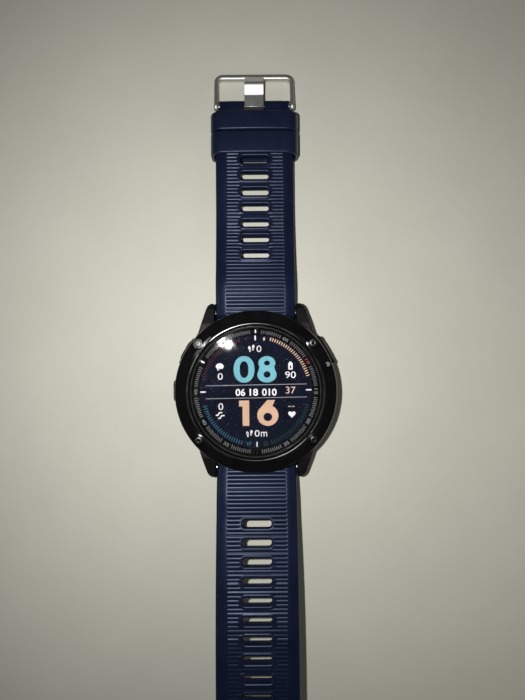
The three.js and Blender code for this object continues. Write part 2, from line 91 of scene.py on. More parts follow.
def area_light(name, location, target, size, power, colour):
    """A soft round lamp that shows in no reflection."""
    data = bpy.data.lights.new(name, "AREA")
    data.shape = "DISK"
    data.size = size * MM
    data.energy = power
    data.color = colour
    lamp = bpy.data.objects.new(name, data)
    lamp.location = Vector(location) * MM
    aim = Vector(target) - Vector(location)
    lamp.rotation_euler = aim.to_track_quat("-Z", "Y").to_euler()
    lamp.visible_transmission = False
    lamp.visible_glossy = False
    scene.collection.objects.link(lamp)


def flash(radius, power, colour):
    """The small bright lamp beside the camera."""
    data = bpy.data.lights.new("flash", "SPOT")
    data.spot_size = FLASH_SPREAD
    data.spot_blend = 1.0
    data.shadow_soft_size = radius * MM
    data.energy = power
    data.color = colour
    lamp = bpy.data.objects.new("flash", data)
    lamp.location = FLASH_AT * MM
    lamp.rotation_euler = (0, FLASH_TILT, 0)
    lamp.visible_transmission = False
    scene.collection.objects.link(lamp)


flash(1.8, 1.10, (1.0, 1.0, 0.97))
area_light("fill_right", (215, -60, 130), (80, -10, 0), 80, 0.062, (1.0, 0.95, 0.84))

world = bpy.data.worlds.new("studio")
world.use_nodes = True
world.node_tree.nodes["Background"].inputs["Color"].default_value = (0.80, 0.80, 0.78, 1)
world.node_tree.nodes["Background"].inputs["Strength"].default_value = 0.035
scene.world = world


# ------------------------------------------------------------------ material helpers


class Material:
    """A Principled material with short calls for the procedural nodes that drive it."""

    def __init__(self, name, colour, roughness, metallic=0.0, **sockets):
        self.material = bpy.data.materials.new(name)
        self.material.use_nodes = True
        self.tree = self.material.node_tree
        self.shader = self.tree.nodes["Principled BSDF"]
        self.set("Base Color", (*colour, 1.0))
        self.set("Roughness", roughness)
        self.set("Metallic", metallic)
        for socket, value in sockets.items():
            self.set(socket.replace("_", " "), value)
        self.height = None

    def set(self, socket, value):
        self.shader.inputs[socket].default_value = value

    def node(self, kind, **values):
        node = self.tree.nodes.new(kind)
        for key, value in values.items():
            setattr(node, key, value)
        return node

    def link(self, start, end):
        self.tree.links.new(start, end)

    def coordinates(self, stretch=(1, 1, 1)):
        """The object's own coordinates in millimetres, stretched along an axis."""
        source = self.node("ShaderNodeTexCoord")
        scale = self.node("ShaderNodeVectorMath", operation="MULTIPLY")
        scale.inputs[1].default_value = tuple(s / MM for s in stretch)
        self.link(source.outputs["Object"], scale.inputs[0])
        return scale.outputs[0]

    def noise(self, size, detail=3.0, stretch=(1, 1, 1), roughness=0.6):
        """Noise with features about `size` millimetres across."""
        noise = self.node("ShaderNodeTexNoise")
        noise.inputs["Scale"].default_value = 1.0 / size
        noise.inputs["Detail"].default_value = detail
        noise.inputs["Roughness"].default_value = roughness
        self.link(self.coordinates(stretch), noise.inputs["Vector"])
        return noise.outputs["Fac"]

    def ramp(self, source, stops):
        ramp = self.node("ShaderNodeValToRGB")
        elements = ramp.color_ramp.elements
        while len(elements) < len(stops):
            elements.new(0.5)
        for element, (position, colour) in zip(elements, stops):
            element.position = position
            element.color = (*colour, 1.0) if len(colour) == 3 else colour
        self.link(source, ramp.inputs["Fac"])
        return ramp.outputs["Color"]

    def remap(self, source, low, high, start=0.3, end=0.7):
        remap = self.node("ShaderNodeMapRange")
        remap.inputs["From Min"].default_value = start
        remap.inputs["From Max"].default_value = end
        remap.inputs["To Min"].default_value = low
        remap.inputs["To Max"].default_value = high
        self.link(source, remap.inputs["Value"])
        return remap.outputs["Result"]

    def colour_from(self, source, dark, light, start=0.3, end=0.7):
        self.link(self.ramp(source, [(start, dark), (end, light)]), self.shader.inputs["Base Color"])
        return self

    def roughness_from(self, source, low, high):
        self.link(self.remap(source, low, high), self.shader.inputs["Roughness"])
        return self

    def bump(self, source, height, strength=1.0):
        """Adds relief of a height in millimetres on top of the relief that is there."""
        bump = self.node("ShaderNodeBump")
        bump.inputs["Strength"].default_value = strength
        bump.inputs["Distance"].default_value = height * MM
        self.link(source, bump.inputs["Height"])
        if self.height is not None:
            self.link(self.height, bump.inputs["Normal"])
        self.height = bump.outputs["Normal"]
        self.link(self.height, self.shader.inputs["Normal"])
        return self


def silicone(name, dark, light, roughness=(0.33, 0.41)):
    """Moulded silicone: fine grain, uneven tone where it is handled, and a little pale dust."""
    made = Material(name, light, 0.5, Specular_IOR_Level=0.36, Specular_Tint=BLUE_SHEEN)
    broad = made.noise(9.0, 4.0)
    tone = made.ramp(broad, [(0.30, dark), (0.70, light)])
    lint = made.node("ShaderNodeTexVoronoi")
    lint.inputs["Scale"].default_value = 1.0 / 2.6
    lint.inputs["Randomness"].default_value = 1.0
    made.link(made.coordinates(), lint.inputs["Vector"])
    specks = made.ramp(lint.outputs["Distance"], [(0.035, (1, 1, 1)), (0.06, (0, 0, 0))])
    mix = made.node("ShaderNodeMix", data_type="RGBA")
    mix.inputs["B"].default_value = (0.16, 0.17, 0.20, 1)
    share = made.node("ShaderNodeMath", operation="MULTIPLY")
    share.inputs[1].default_value = 0.30
    made.link(specks, share.inputs[0])
    made.link(share.outputs[0], mix.inputs["Factor"])
    made.link(tone, mix.inputs["A"])
    made.link(mix.outputs["Result"], made.shader.inputs["Base Color"])
    made.roughness_from(made.noise(2.2, 5.0), *roughness)
    made.bump(made.noise(0.2, 2.0), 0.004, 0.5)
    made.bump(made.noise(1.8, 3.0), 0.012, 0.35)
    return made.material


def moulded(name, dark, light, roughness, grain=0.12, relief=0.015, **sockets):
    """Moulded polymer with a fine spark-eroded grain."""
    made = Material(name, light, roughness, **sockets)
    made.colour_from(made.noise(5.0, 4.0), dark, light)
    made.roughness_from(made.noise(1.1, 4.0), roughness - 0.07, roughness + 0.07)
    made.bump(made.noise(grain, 2.0), relief, 0.7)
    return made.material


def coated(name, dark, light, roughness, **sockets):
    """A smooth dark coating, with faint handling marks and very fine scratches."""
    made = Material(name, light, roughness, 0.35, **sockets)
    made.colour_from(made.noise(6.0, 4.0), dark, light)
    made.roughness_from(made.noise(2.6, 6.0), roughness - 0.04, roughness + 0.08)
    made.bump(made.noise(0.9, 3.0, (6.0, 0.6, 1.0)), 0.002, 0.5)
    return made.material


def brushed(name, dark, light, roughness, along=(1, 0, 0), metallic=1.0):
    """Steel brushed along one axis: long fine lines in tone, gloss and relief."""
    made = Material(name, light, roughness, metallic)
    stretch = tuple(0.06 if share else 1.0 for share in along)
    lines = made.noise(0.09, 4.0, stretch, 0.7)
    made.colour_from(lines, dark, light)
    made.roughness_from(made.noise(0.14, 3.0, stretch), roughness - 0.08, roughness + 0.10)
    made.bump(lines, 0.006, 0.6)
    return made.material


def matte(name, dark, light, roughness, size=1.5, relief=0.01, metallic=0.0):
    """A plain surface with soft uneven tone and slight relief."""
    made = Material(name, light, roughness, metallic)
    made.colour_from(made.noise(size * 3, 4.0), dark, light)
    made.bump(made.noise(size * 0.2, 3.0), relief, 0.5)
    return made.material


# ------------------------------------------------------------------ mesh helpers


def piece(name, verts, faces, material, sharp=38.0, merge=0.0, weighted=False):
    """Makes an object from millimetre points, facing out and smooth but for its sharp edges."""
    mesh = bpy.data.meshes.new(name)
    mesh.from_pydata([(x * MM, y * MM, z * MM) for x, y, z in verts], [], faces)
    work = bmesh.new()
    work.from_mesh(mesh)
    loose = [v for v in work.verts if not v.link_faces]
    bmesh.ops.delete(work, geom=loose, context="VERTS")
    if merge:
        bmesh.ops.remove_doubles(work, verts=work.verts, dist=merge * MM)
    bmesh.ops.recalc_face_normals(work, faces=work.faces)
    work.to_mesh(mesh)
    work.free()
    return from_mesh(name, mesh, material, sharp, weighted)


def from_mesh(name, mesh, material, sharp=38.0, weighted=False):
    """An object from a mesh. Weighted shading keeps broad flats flat beside rounded edges."""
    mesh.shade_smooth()
    mesh.set_sharp_from_angle(angle=math.radians(sharp))
    mesh.materials.clear()
    mesh.materials.append(material)
    made = bpy.data.objects.new(name, mesh)
    scene.collection.objects.link(made)
    if weighted:
        modifier = made.modifiers.new("weighted", "WEIGHTED_NORMAL")
        modifier.keep_sharp = True
        made.data = evaluated(made)
        made.modifiers.clear()
    return made


def on_body(made, body, slot, *replaced):
    """Hangs a piece on the body it rides on and hides the CAD nodes it stands for. The slot argument is
    not used.
    """
    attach(made, body)
    if replaced:
        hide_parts(*replaced)
    return made


def grid_faces(rows, columns, wrap_rows=False, wrap_columns=True):
    """Quads between successive rows of a grid of points."""
    faces = []
    for i in range(rows if wrap_rows else rows - 1):
        nxt = (i + 1) % rows
        for j in range(columns if wrap_columns else columns - 1):
            k = (j + 1) % columns
            faces.append((i * columns + j, i * columns + k, nxt * columns + k, nxt * columns + j))
    return faces


def loft(rings, closed=False):
    """Points and faces of a solid through rings of equal length, capped unless it closes."""
    columns = len(rings[0])
    verts = [point for ring in rings for point in ring]
    faces = grid_faces(len(rings), columns, wrap_rows=closed)
    if not closed:
        faces.append(tuple(range(columns)))
        last = (len(rings) - 1) * columns
        faces.append(tuple(last + j for j in range(columns)))
    return verts, faces


def fillet(points, radius, steps=5, closed=True):
    """Rounds the corners of an outline. The radius may be one number or one for each corner."""
    count = len(points)
    radii = [radius] * count if isinstance(radius, (int, float)) else radius
    rounded = []
    for i, here in enumerate(points):
        if radii[i] <= 0 or (not closed and i in (0, count - 1)):
            rounded.append(here)
            continue
        here = Vector(here)
        before = Vector(points[i - 1]) - here
        after = Vector(points[(i + 1) % count]) - here
        reach = min(radii[i], before.length * 0.45, after.length * 0.45)
        start = here + before.normalized() * reach
        end = here + after.normalized() * reach
        for k in range(steps + 1):
            t = k / steps
            rounded.append(tuple(start * (1 - t) ** 2 + here * 2 * t * (1 - t) + end * t * t))
    return rounded


def turned(name, profile, material, steps=192, closed=True, sharp=30.0):
    """A body of revolution about Z from [radius, z] points, closed or from axis to axis."""
    rings = []
    for i in range(steps):
        angle = 2 * math.pi * i / steps
        c, s = math.cos(angle), math.sin(angle)
        rings.append([(r * c, r * s, z) for r, z in profile])
    verts = [point for ring in rings for point in ring]
    faces = grid_faces(steps, len(profile), wrap_rows=True, wrap_columns=closed)
    return piece(name, verts, faces, material, sharp, 0.0005, True)


def rounded_rectangle(width, height, radius, steps=6):
    """An outline round the origin, anticlockwise."""
    w, h = width / 2, height / 2
    points = []
    for cx, cy, turn in ((w, h, 0), (-w, h, 90), (-w, -h, 180), (w, -h, 270)):
        for k in range(steps + 1):
            angle = math.radians(turn + 90 * k / steps)
            x = cx - math.copysign(radius, cx) + radius * math.cos(angle)
            y = cy - math.copysign(radius, cy) + radius * math.sin(angle)
            points.append((x, y))
    return points


def inset_outline(points, amount):
    """Moves an anticlockwise outline in by an amount along its normals."""
    count = len(points)
    moved = []
    for i in range(count):
        before, after = Vector(points[i - 1]), Vector(points[(i + 1) % count])
        along = (after - before).normalized()
        moved.append((points[i][0] - along.y * amount, points[i][1] + along.x * amount))
    return moved


def prism(name, outline, bottom, top, material, edge=0.2, steps=3, sharp=38.0):
    """A plate with rounded edges from an anticlockwise outline in XY."""
    rings = []
    for k in range(steps + 1):
        angle = math.pi / 2 * k / steps
        inset, height = edge * (1 - math.sin(angle)), edge * (1 - math.cos(angle))
        rings.append([(x, y, bottom + height) for x, y in inset_outline(outline, inset)])
    for k in range(steps + 1):
        angle = math.pi / 2 * k / steps
        inset, height = edge * (1 - math.cos(angle)), edge * (1 - math.sin(angle))
        rings.append([(x, y, top - height) for x, y in inset_outline(outline, inset)])
    return piece(name, *loft(rings), material, sharp, 0.0, True)


def smoothstep(low, high, value):
    t = min(max((value - low) / (high - low), 0.0), 1.0)
    return t * t * (3 - 2 * t)


def moved(verts, matrix):
    return [tuple(matrix @ Vector(point)) for point in verts]


def evaluated(made):
    """The mesh of an object after its modifiers."""
    graph = bpy.context.evaluated_depsgraph_get()
    return bpy.data.meshes.new_from_object(made.evaluated_get(graph))


def boolean(target, cutter, operation):
    """Cuts or joins one object by another and removes the other."""
    modifier = target.modifiers.new(operation, "BOOLEAN")
    modifier.object = cutter
    modifier.operation = operation
    modifier.solver = "EXACT"
    modifier.use_self = True
    mesh = evaluated(target)
    target.modifiers.clear()
    target.data = mesh
    bpy.data.objects.remove(cutter)


# ------------------------------------------------------------------ materials

NAVY_DARK, NAVY = (0.0042, 0.0068, 0.021), (0.0064, 0.0100, 0.031)
BLUE_SHEEN = (0.62, 0.73, 1.0, 1.0)
BLACK, SOFT_BLACK = (0.0035, 0.0035, 0.0042), (0.0065, 0.0065, 0.0075)

strap_navy = silicone("strap_navy", NAVY_DARK, NAVY)
loop_navy = silicone("loop_navy", (0.0054, 0.0080, 0.024), (0.0076, 0.0112, 0.032), (0.34, 0.42))
bezel_black = coated("bezel_black", BLACK, SOFT_BLACK, 0.16, Specular_IOR_Level=0.55)
case_black = moulded("case_black", BLACK, (0.006, 0.006, 0.007), 0.50, Specular_IOR_Level=0.15)
back_black = moulded("back_black", BLACK, (0.010, 0.010, 0.011), 0.40, 0.2)
inner_black = moulded("inner_black", BLACK, SOFT_BLACK, 0.6)
ring_black = moulded("ring_black", (0.001, 0.001, 0.001), (0.002, 0.002, 0.002), 0.7,
                     Specular_IOR_Level=0.0)
button_black = brushed("button_black", (0.012, 0.012, 0.013), (0.05, 0.05, 0.052), 0.34, (0, 0, 1))
mark_steel = brushed("mark_steel", (0.10, 0.10, 0.105), (0.26, 0.26, 0.27), 0.42, (1, 0, 0))
screw_dark = brushed("screw_dark", (0.020, 0.020, 0.021), (0.06, 0.06, 0.063), 0.30, (1, 0, 0))
buckle_steel = brushed("buckle_steel", (0.52, 0.52, 0.50), (0.78, 0.78, 0.75), 0.50)
tongue_steel = brushed("tongue_steel", (0.72, 0.73, 0.71), (0.92, 0.93, 0.91), 0.44)
pin_steel = brushed("pin_steel", (0.35, 0.35, 0.34), (0.6, 0.6, 0.58), 0.25, (0, 1, 0))
latch_steel = brushed("latch_steel", (0.30, 0.30, 0.30), (0.5, 0.5, 0.49), 0.30, (0, 1, 0))
switch_steel = brushed("switch_steel", (0.3, 0.3, 0.29), (0.5, 0.5, 0.48), 0.35)
seal_black = matte("seal_black", (0.003, 0.003, 0.003), (0.006, 0.006, 0.006), 0.85)
board_green = matte("board_green", (0.006, 0.05, 0.016), (0.012, 0.085, 0.03), 0.45, 0.8)
cell_foil = matte("cell_foil", (0.40, 0.41, 0.42), (0.6, 0.61, 0.62), 0.35, 2.5, 0.03, 0.7)
contact_gold = brushed("contact_gold", (0.55, 0.36, 0.12), (0.83, 0.60, 0.25), 0.22)


def clear_glass():
    """Clear glass that lets lamps reach what is under it."""
    made = Material("lens_glass", (1.0, 1.0, 1.0), 0.0, 0.0, IOR=1.45, Transmission_Weight=1.0)
    made.roughness_from(made.noise(3.0, 5.0), 0.0, 0.03)
    clear = made.node("ShaderNodeBsdfTransparent")
    rays = made.node("ShaderNodeLightPath")
    mix = made.node("ShaderNodeMixShader")
    output = made.tree.nodes["Material Output"]
    made.link(rays.outputs["Is Shadow Ray"], mix.inputs["Fac"])
    made.link(made.shader.outputs[0], mix.inputs[1])
    made.link(clear.outputs[0], mix.inputs[2])
    made.link(mix.outputs[0], output.inputs["Surface"])
    return made.material


lens_glass = clear_glass()
sensor_glass = coated("sensor_glass", (0.004, 0.004, 0.005), (0.008, 0.008, 0.010), 0.08)


def display_colour(name, colour, painted_glow, grain=0.25):
    """Ink of a reflective pixel display: lit by the lamps, with a painted glow added on top, and a pixel
    grid.
    """
    made = Material(name, colour, 0.6, Specular_IOR_Level=0.0)
    dim = tuple(c * (1 - grain) for c in colour)
    made.colour_from(made.noise(0.13, 1.0), dim, colour, 0.35, 0.65)
    # The emission is a painted glow: it brightens the ink as more lamp light would.
    made.set("Emission Color", (*colour, 1.0))
    made.set("Emission Strength", painted_glow)
    return made.material


# The third number of each ink is the strength of its painted glow.
display_dark = display_colour("display_dark", (0.0022, 0.0028, 0.0062), 0.15, 0.15)
ink_teal = display_colour("ink_teal", (0.066, 0.165, 0.196), 0.2)
ink_peach = display_colour("ink_peach", (0.235, 0.150, 0.106), 0.2)
ink_white = display_colour("ink_white", (0.375, 0.355, 0.365), 0.2)
ink_grey = display_colour("ink_grey", (0.14, 0.14, 0.155), 0.2)
ink_tan = display_colour("ink_tan", (0.27, 0.20, 0.165), 0.2)
ink_orange = display_colour("ink_orange", (0.36, 0.25, 0.165), 0.2)
ink_blue = display_colour("ink_blue", (0.018, 0.056, 0.076), 0.2)
ink_red = display_colour("ink_red", (0.040, 0.012, 0.013), 0.2)
ink_green = display_colour("ink_green", (0.011, 0.024, 0.019), 0.2)
ink_ring = display_colour("ink_ring", (0.085, 0.088, 0.094), 0.0)
ink_ring_light = display_colour("ink_ring_light", (0.115, 0.12, 0.13), 0.0)
ink_ring_red = display_colour("ink_ring_red", (0.16, 0.03, 0.03), 0.0)
ink_ring_white = display_colour("ink_ring_white", (0.60, 0.60, 0.62), 0.0)


# ------------------------------------------------------------------ strap

STRAP_HALF_WIDTH = 12.9
STRAP_THICK = 3.4
ROOT_THICK = 5.0
RIB_ZONE = 9.5  # half the width of the ribbed band
RIBS_PER_SLOT = 4.55
RIB_RECESS = 0.25
RIB_HEIGHT = 0.27
BORDER_FALL = 1.0  # how far the smooth borders curve down to the strap's edges
EDGE_FALL = 0.65 * BORDER_FALL  # the part of it that lies inside the rounded edge
SLOT_HALF_LENGTH = 4.6
SLOT_HALF_WIDTH = 1.15
SLOT_CORNER = 0.9
SLOT_STRAIGHT = SLOT_HALF_LENGTH - SLOT_CORNER
RIM_WIDTH = 0.85
CELL_HALF = 6.2  # columns beyond this don't bend round the slots
ROW_STEP = 0.13
PIN_SEAT = 1.3  # radius of the lug bar's seat
LATCH_HALF_WIDTH, LATCH_REACH, LATCH_ROOF = 4.4, 8.9, 1.15  # the latch's channel under the strap

LUG_BAR = ((node_box("lug_bar_top")[0] + node_box("lug_bar_top")[1]) / 2).yz
BUCKLE_BAR = ((node_box("buckle_bar")[0] + node_box("buckle_bar")[1]) / 2).yz


class StrapLine:
    """The centre line of one strap half in the YZ plane, measured from the lug bar outwards."""

    def __init__(self, *pieces):
        samples = 700
        points = [Vector(pieces[0][0])]
        for controls in pieces:
            for k in range(1, samples + 1):
                t = k / samples
                weights = self.weights(len(controls), t)
                y = sum(w * c[0] for w, c in zip(weights, controls))
                z = sum(w * c[1] for w, c in zip(weights, controls))
                points.append(Vector((y, z)))
        self.points = points
        self.lengths = [0.0]
        for a, b in zip(points, points[1:]):
            self.lengths.append(self.lengths[-1] + (b - a).length)
        self.length = self.lengths[-1]

    @staticmethod
    def weights(count, t):
        if count == 2:
            return (1 - t, t)
        return ((1 - t) ** 3, 3 * t * (1 - t) ** 2, 3 * t * t * (1 - t), t ** 3)

    def centre(self, s):
        if s <= 0:
            start = (self.points[1] - self.points[0]).normalized()
            return self.points[0] + start * s
        if s >= self.length:
            end = (self.points[-1] - self.points[-2]).normalized()
            return self.points[-1] + end * (s - self.length)
        low, high = 0, len(self.lengths) - 1
        while high - low > 1:
            middle = (low + high) // 2
            if self.lengths[middle] <= s:
                low = middle
            else:
                high = middle
        share = (s - self.lengths[low]) / (self.lengths[high] - self.lengths[low])
        return self.points[low].lerp(self.points[high], share)

    def station(self, s):
        """The centre and the upward normal at a length."""
        along = (self.centre(s + 0.3) - self.centre(s - 0.3)).normalized()
        up = Vector((-along.y, along.x)) if along.x > 0 else Vector((along.y, -along.x))
        return self.centre(s), up


class StrapHalf:
    """Sizes and surface of one strap half."""

    def __init__(self, line, first_slot, slot_pitch, slots, tip, ribs_to):
        self.line = line
        self.slots = [first_slot + slot_pitch * n for n in range(slots)]
        self.rib_pitch = slot_pitch / RIBS_PER_SLOT
        self.rib_start = first_slot - slot_pitch / 2
        self.tip = tip
        self.ribs_to = ribs_to

    def thickness(self, s):
        full = self.line.length
        if s < 0:
            return 2 * math.sqrt(max((ROOT_THICK / 2) ** 2 - s * s, 0.0004))
        base = STRAP_THICK + (ROOT_THICK - STRAP_THICK) * (1 - smoothstep(8, 17, s))
        if self.tip == "round":
            base += (2.6 - STRAP_THICK) * smoothstep(full - 25, full, s)
            end, reach = full + 1.2, 1.6
        else:
            end, reach = full + STRAP_THICK / 2, STRAP_THICK / 2
        if s > end - reach:
            t = min((s - (end - reach)) / reach, 1.0)
            base *= math.sqrt(max(1 - t * t, 0.0004))
        return base

    def half_width(self, s):
        full = self.line.length
        if self.tip == "round":
            start, reach = full - 12.2, 13.4
            t = min(max((s - start) / reach, 0.0), 1.0)
            return max(STRAP_HALF_WIDTH * (1 - t ** 2.5) ** (1 / 2.5), 0.5)
        neck_width = 11.5
        shoulder = full - 1.8
        return STRAP_HALF_WIDTH + (neck_width - STRAP_HALF_WIDTH) * smoothstep(
            shoulder, shoulder + 0.7, s
        )

    def gap_half(self, s):
        """Half the length of the hole in a row, or None where the row is whole."""
        for centre in self.slots:
            off = abs(s - centre)
            if off < SLOT_HALF_WIDTH - 1e-6:
                beyond = max(off - (SLOT_HALF_WIDTH - SLOT_CORNER), 0.0)
                return SLOT_STRAIGHT + math.sqrt(max(SLOT_CORNER ** 2 - beyond ** 2, 0.0))
        if self.notch(s):
            return SLOT_STRAIGHT
        return None

    def notch(self, s):
        """True in the notch for the buckle's tongue at the end of the buckle half."""
        return self.tip == "buckle" and s > self.line.length - 1.9 + 1e-6

    def slot_distance(self, s, u):
        """How far a point is outside the nearest slot's outline."""
        nearest = min(self.slots, key=lambda centre: abs(centre - s))
        dx = max(abs(u) - SLOT_STRAIGHT, 0.0)
        dy = max(abs(s - nearest) - (SLOT_HALF_WIDTH - SLOT_CORNER), 0.0)
        return math.hypot(dx, dy) - SLOT_CORNER

    def rib(self, s):
        """Height of the ribs from 0 in a groove to 1 on a crest."""
        phase = ((s - self.rib_start) / self.rib_pitch) % 1.0 - 0.5
        return 1 - (2 * abs(phase)) ** 2.6

    def crest_near(self, s):
        """The rib crest nearest to a length."""
        count = round((s - self.rib_start) / self.rib_pitch - 0.5)
        return self.rib_start + (count + 0.5) * self.rib_pitch

    def top_relief(self, s, u):
        """Height of the top face over its plain border."""
        along = smoothstep(-1.5, -0.5, s) * (1 - smoothstep(self.ribs_to - 0.5, self.ribs_to, s))
        inside = along * (1 - smoothstep(RIB_ZONE - 0.45, RIB_ZONE + 0.12, abs(u)))
        crest = self.rib(s) * (1 - 0.5 * smoothstep(14, 60, s))
        plain = 1 - smoothstep(SLOT_STRAIGHT + 0.6, SLOT_STRAIGHT + 1.8, abs(u))
        plain *= smoothstep(self.slots[0] - 3.5, self.slots[0] - 2.0, s) * (self.tip == "buckle")
        crest += (0.45 - crest) * 0.75 * plain
        height = inside * (crest * RIB_HEIGHT - RIB_RECESS)
        height -= BORDER_FALL * (max(abs(u) - RIB_ZONE, 0.0) / (STRAP_HALF_WIDTH - RIB_ZONE)) ** 1.4
        distance = self.slot_distance(s, u)
        if distance < RIM_WIDTH + 0.3:
            rim = 1 - smoothstep(RIM_WIDTH, RIM_WIDTH + 0.14, distance)
            height += (0.02 - height) * rim
            if distance < 0.42:
                height -= 0.34 * (1 - max(distance, 0.0) / 0.42) ** 1.6
        return height

    def under_relief(self, s, u):
        """Depth of the underside: a shallow channel, soft slot rims and the lug bar's cuts."""
        inside = smoothstep(15, 20, s) * (1 - smoothstep(self.ribs_to - 4, self.ribs_to, s))
        depth = 0.16 * inside * (1 - smoothstep(RIB_ZONE - 0.4, RIB_ZONE + 0.4, abs(u)))
        distance = self.slot_distance(s, u)
        if distance < 0.4:
            depth += 0.25 * (1 - max(distance, 0.0) / 0.4) ** 1.6
        half = self.thickness(s) / 2
        if abs(u) < LATCH_HALF_WIDTH and -PIN_SEAT < s < LATCH_REACH:
            depth = half - LATCH_ROOF
        if abs(s) < 1.2:
            depth = half + math.sqrt(PIN_SEAT ** 2 - s * s)
        return depth


def strap_columns():
    """Places across the middle of the strap, from its left border to its right one."""
    inner = [0.0, 1.2, 2.4, SLOT_STRAIGHT]
    cell = [3.82, 3.96, 4.15, 4.38, 4.42, 4.75, 5.15, 5.65, CELL_HALF]
    outer = [7.3, 8.4, 9.0, 9.1, 9.22, 9.34, 9.46, 9.6, 9.8, 10.2, 10.7, 11.2, 11.65]
    right = inner + cell + outer
    return [-u for u in reversed(right[1:])] + right


COLUMNS = strap_columns()
CORNER_STEPS = 6


def strap_rows(half, start, end):
    """Lengths at which the strap is drawn: even steps, and the edges of everything cut in it."""
    special = [start, end]
    for centre in half.slots:
        for off in (SLOT_HALF_WIDTH, SLOT_HALF_WIDTH - SLOT_CORNER):
            special += [centre - off, centre + off]
        corner = SLOT_HALF_WIDTH - SLOT_CORNER
        for k in range(1, 6):
            angle = math.pi / 2 * k / 6
            off = corner + SLOT_CORNER * math.sin(angle)
            special += [centre - off, centre + off]
    full = half.line.length
    special += [cut + side for cut in (-PIN_SEAT, -1.2, 1.2, LATCH_REACH) for side in (-0.01, 0.01)]
    if half.tip == "buckle":
        special += [full - 1.9] + [full + STRAP_THICK / 2 * math.sin(k * math.pi / 16) for k in range(9)]
    else:
        special += [full + 1.2 - 13.4 * (1 - math.sin(k * math.pi / 48)) for k in range(25)]
    special += [-ROOT_THICK / 2 * math.sin(k * math.pi / 16) for k in range(9)]
    special = sorted({round(s, 4) for s in special if start <= s <= end})
    steps = int((end - start) / ROW_STEP)
    rows = list(special)
    for k in range(1, steps):
        s = start + (end - start) * k / steps
        if min(abs(s - known) for known in special) > 0.05:
            rows.append(s)
    return sorted(rows)


def strap_ring(half, s):
    """One closed section of the strap: top, right side, underside and left side."""
    centre, up = half.line.station(s)
    thick = half.thickness(s)
    top, under = thick / 2, -thick / 2
    width = half.half_width(s)
    gap = half.gap_half(s)
    scale = width / STRAP_HALF_WIDTH
    corner = min(0.9, thick * 0.3, width * 0.5)

    def place(x, v):
        return (x, centre.x + up.x * v, centre.y + up.y * v)

    def across(u):
        if gap is not None and SLOT_STRAIGHT <= abs(u) <= CELL_HALF:
            share = (abs(u) - SLOT_STRAIGHT) / (CELL_HALF - SLOT_STRAIGHT)
            return math.copysign(gap + share * (CELL_HALF - gap), u)
        return u

    xs = [across(u) for u in COLUMNS]
    flat = smoothstep(0.5, 1.6, thick) * min(thick / STRAP_THICK, 1.0)
    ring = [place(x * scale, top + half.top_relief(s, x) * flat) for x in xs]
    edge = [math.pi / 2 * k / CORNER_STEPS for k in range(CORNER_STEPS + 1)]
    fall = EDGE_FALL * flat
    side = [(width - corner + corner * math.sin(a), top - fall - corner + corner * math.cos(a))
            for a in edge]
    side += [(width - corner + corner * math.sin(a), under + corner - corner * math.cos(a))
             for a in reversed(edge)]
    ring += [place(x, v) for x, v in side]
    ring += [place(x * scale, under + min(half.under_relief(s, x), thick - 0.3)) for x in reversed(xs)]
    ring += [place(-x, v) for x, v in reversed(side)]
    return ring


def strap_piece(name, half, start, end):
    """A closed length of strap with its slots cut through."""
    rows = strap_rows(half, start, end)
    rings = [strap_ring(half, s) for s in rows]
    size = len(rings[0])
    count = len(COLUMNS)
    side = 2 * (CORNER_STEPS + 1)
    left = COLUMNS.index(-SLOT_STRAIGHT)
    right = COLUMNS.index(SLOT_STRAIGHT)
    under_of = {j: count + side + (count - 1 - j) for j in range(count)}
    verts = [point for ring in rings for point in ring]
    faces = []

    def open_between(i):
        middle = (rows[i] + rows[i + 1]) / 2
        return half.gap_half(middle) is not None

    opened = [open_between(i) for i in range(len(rows) - 1)]
    for i in range(len(rows) - 1):
        for j in range(size):
            k = (j + 1) % size
            in_top = left <= j < right
            in_under = under_of[right] <= j < under_of[left]
            if opened[i] and (in_top or in_under):
                continue
            faces.append((i * size + j, i * size + k, (i + 1) * size + k, (i + 1) * size + j))
        if opened[i]:
            for column in (left, right):
                a, b = i * size + column, (i + 1) * size + column
                c, d = (i + 1) * size + under_of[column], i * size + under_of[column]
                faces.append((a, b, c, d))
        if i and opened[i] != opened[i - 1]:
            for j in range(left, right):
                faces.append((
                    i * size + j, i * size + j + 1,
                    i * size + under_of[j + 1], i * size + under_of[j],
                ))
    for i, is_open in ((0, opened[0]), (len(rows) - 1, opened[-1])):
        for j in range(count - 1):
            if is_open and left <= j < right:
                continue
            faces.append((
                i * size + j, i * size + j + 1, i * size + under_of[j + 1], i * size + under_of[j],
            ))
        first = i * size
        faces.append(tuple(first + k for k in range(count - 1, count + side + 1)))
        faces.append(tuple(first + k % size for k in range(under_of[0], size + 1)))
    return piece(name, verts, faces, strap_navy, 42.0)


def mid_point(half, s):
    centre = half.line.centre(s)
    return (0.0, centre.x * MM, centre.y * MM)


tail_line = StrapLine(
    ((-LUG_BAR.x, LUG_BAR.y), (-45, 12.2), (-68, 16), (-95, 16)),
    ((-95, 16), (-116, 16), (-132, 7), (-150, 1.45)),
)
buckle_line = StrapLine(
    (tuple(LUG_BAR), (38, 7.2), (48, BUCKLE_BAR.y), (63, BUCKLE_BAR.y)),
    ((63, BUCKLE_BAR.y), tuple(BUCKLE_BAR)),
)
tail = StrapHalf(tail_line, 17.6, 5.65, 17, "round", tail_line.length - 11)
buckle_half = StrapHalf(buckle_line, 18.9, 5.3, 7, "buckle", 61.5)


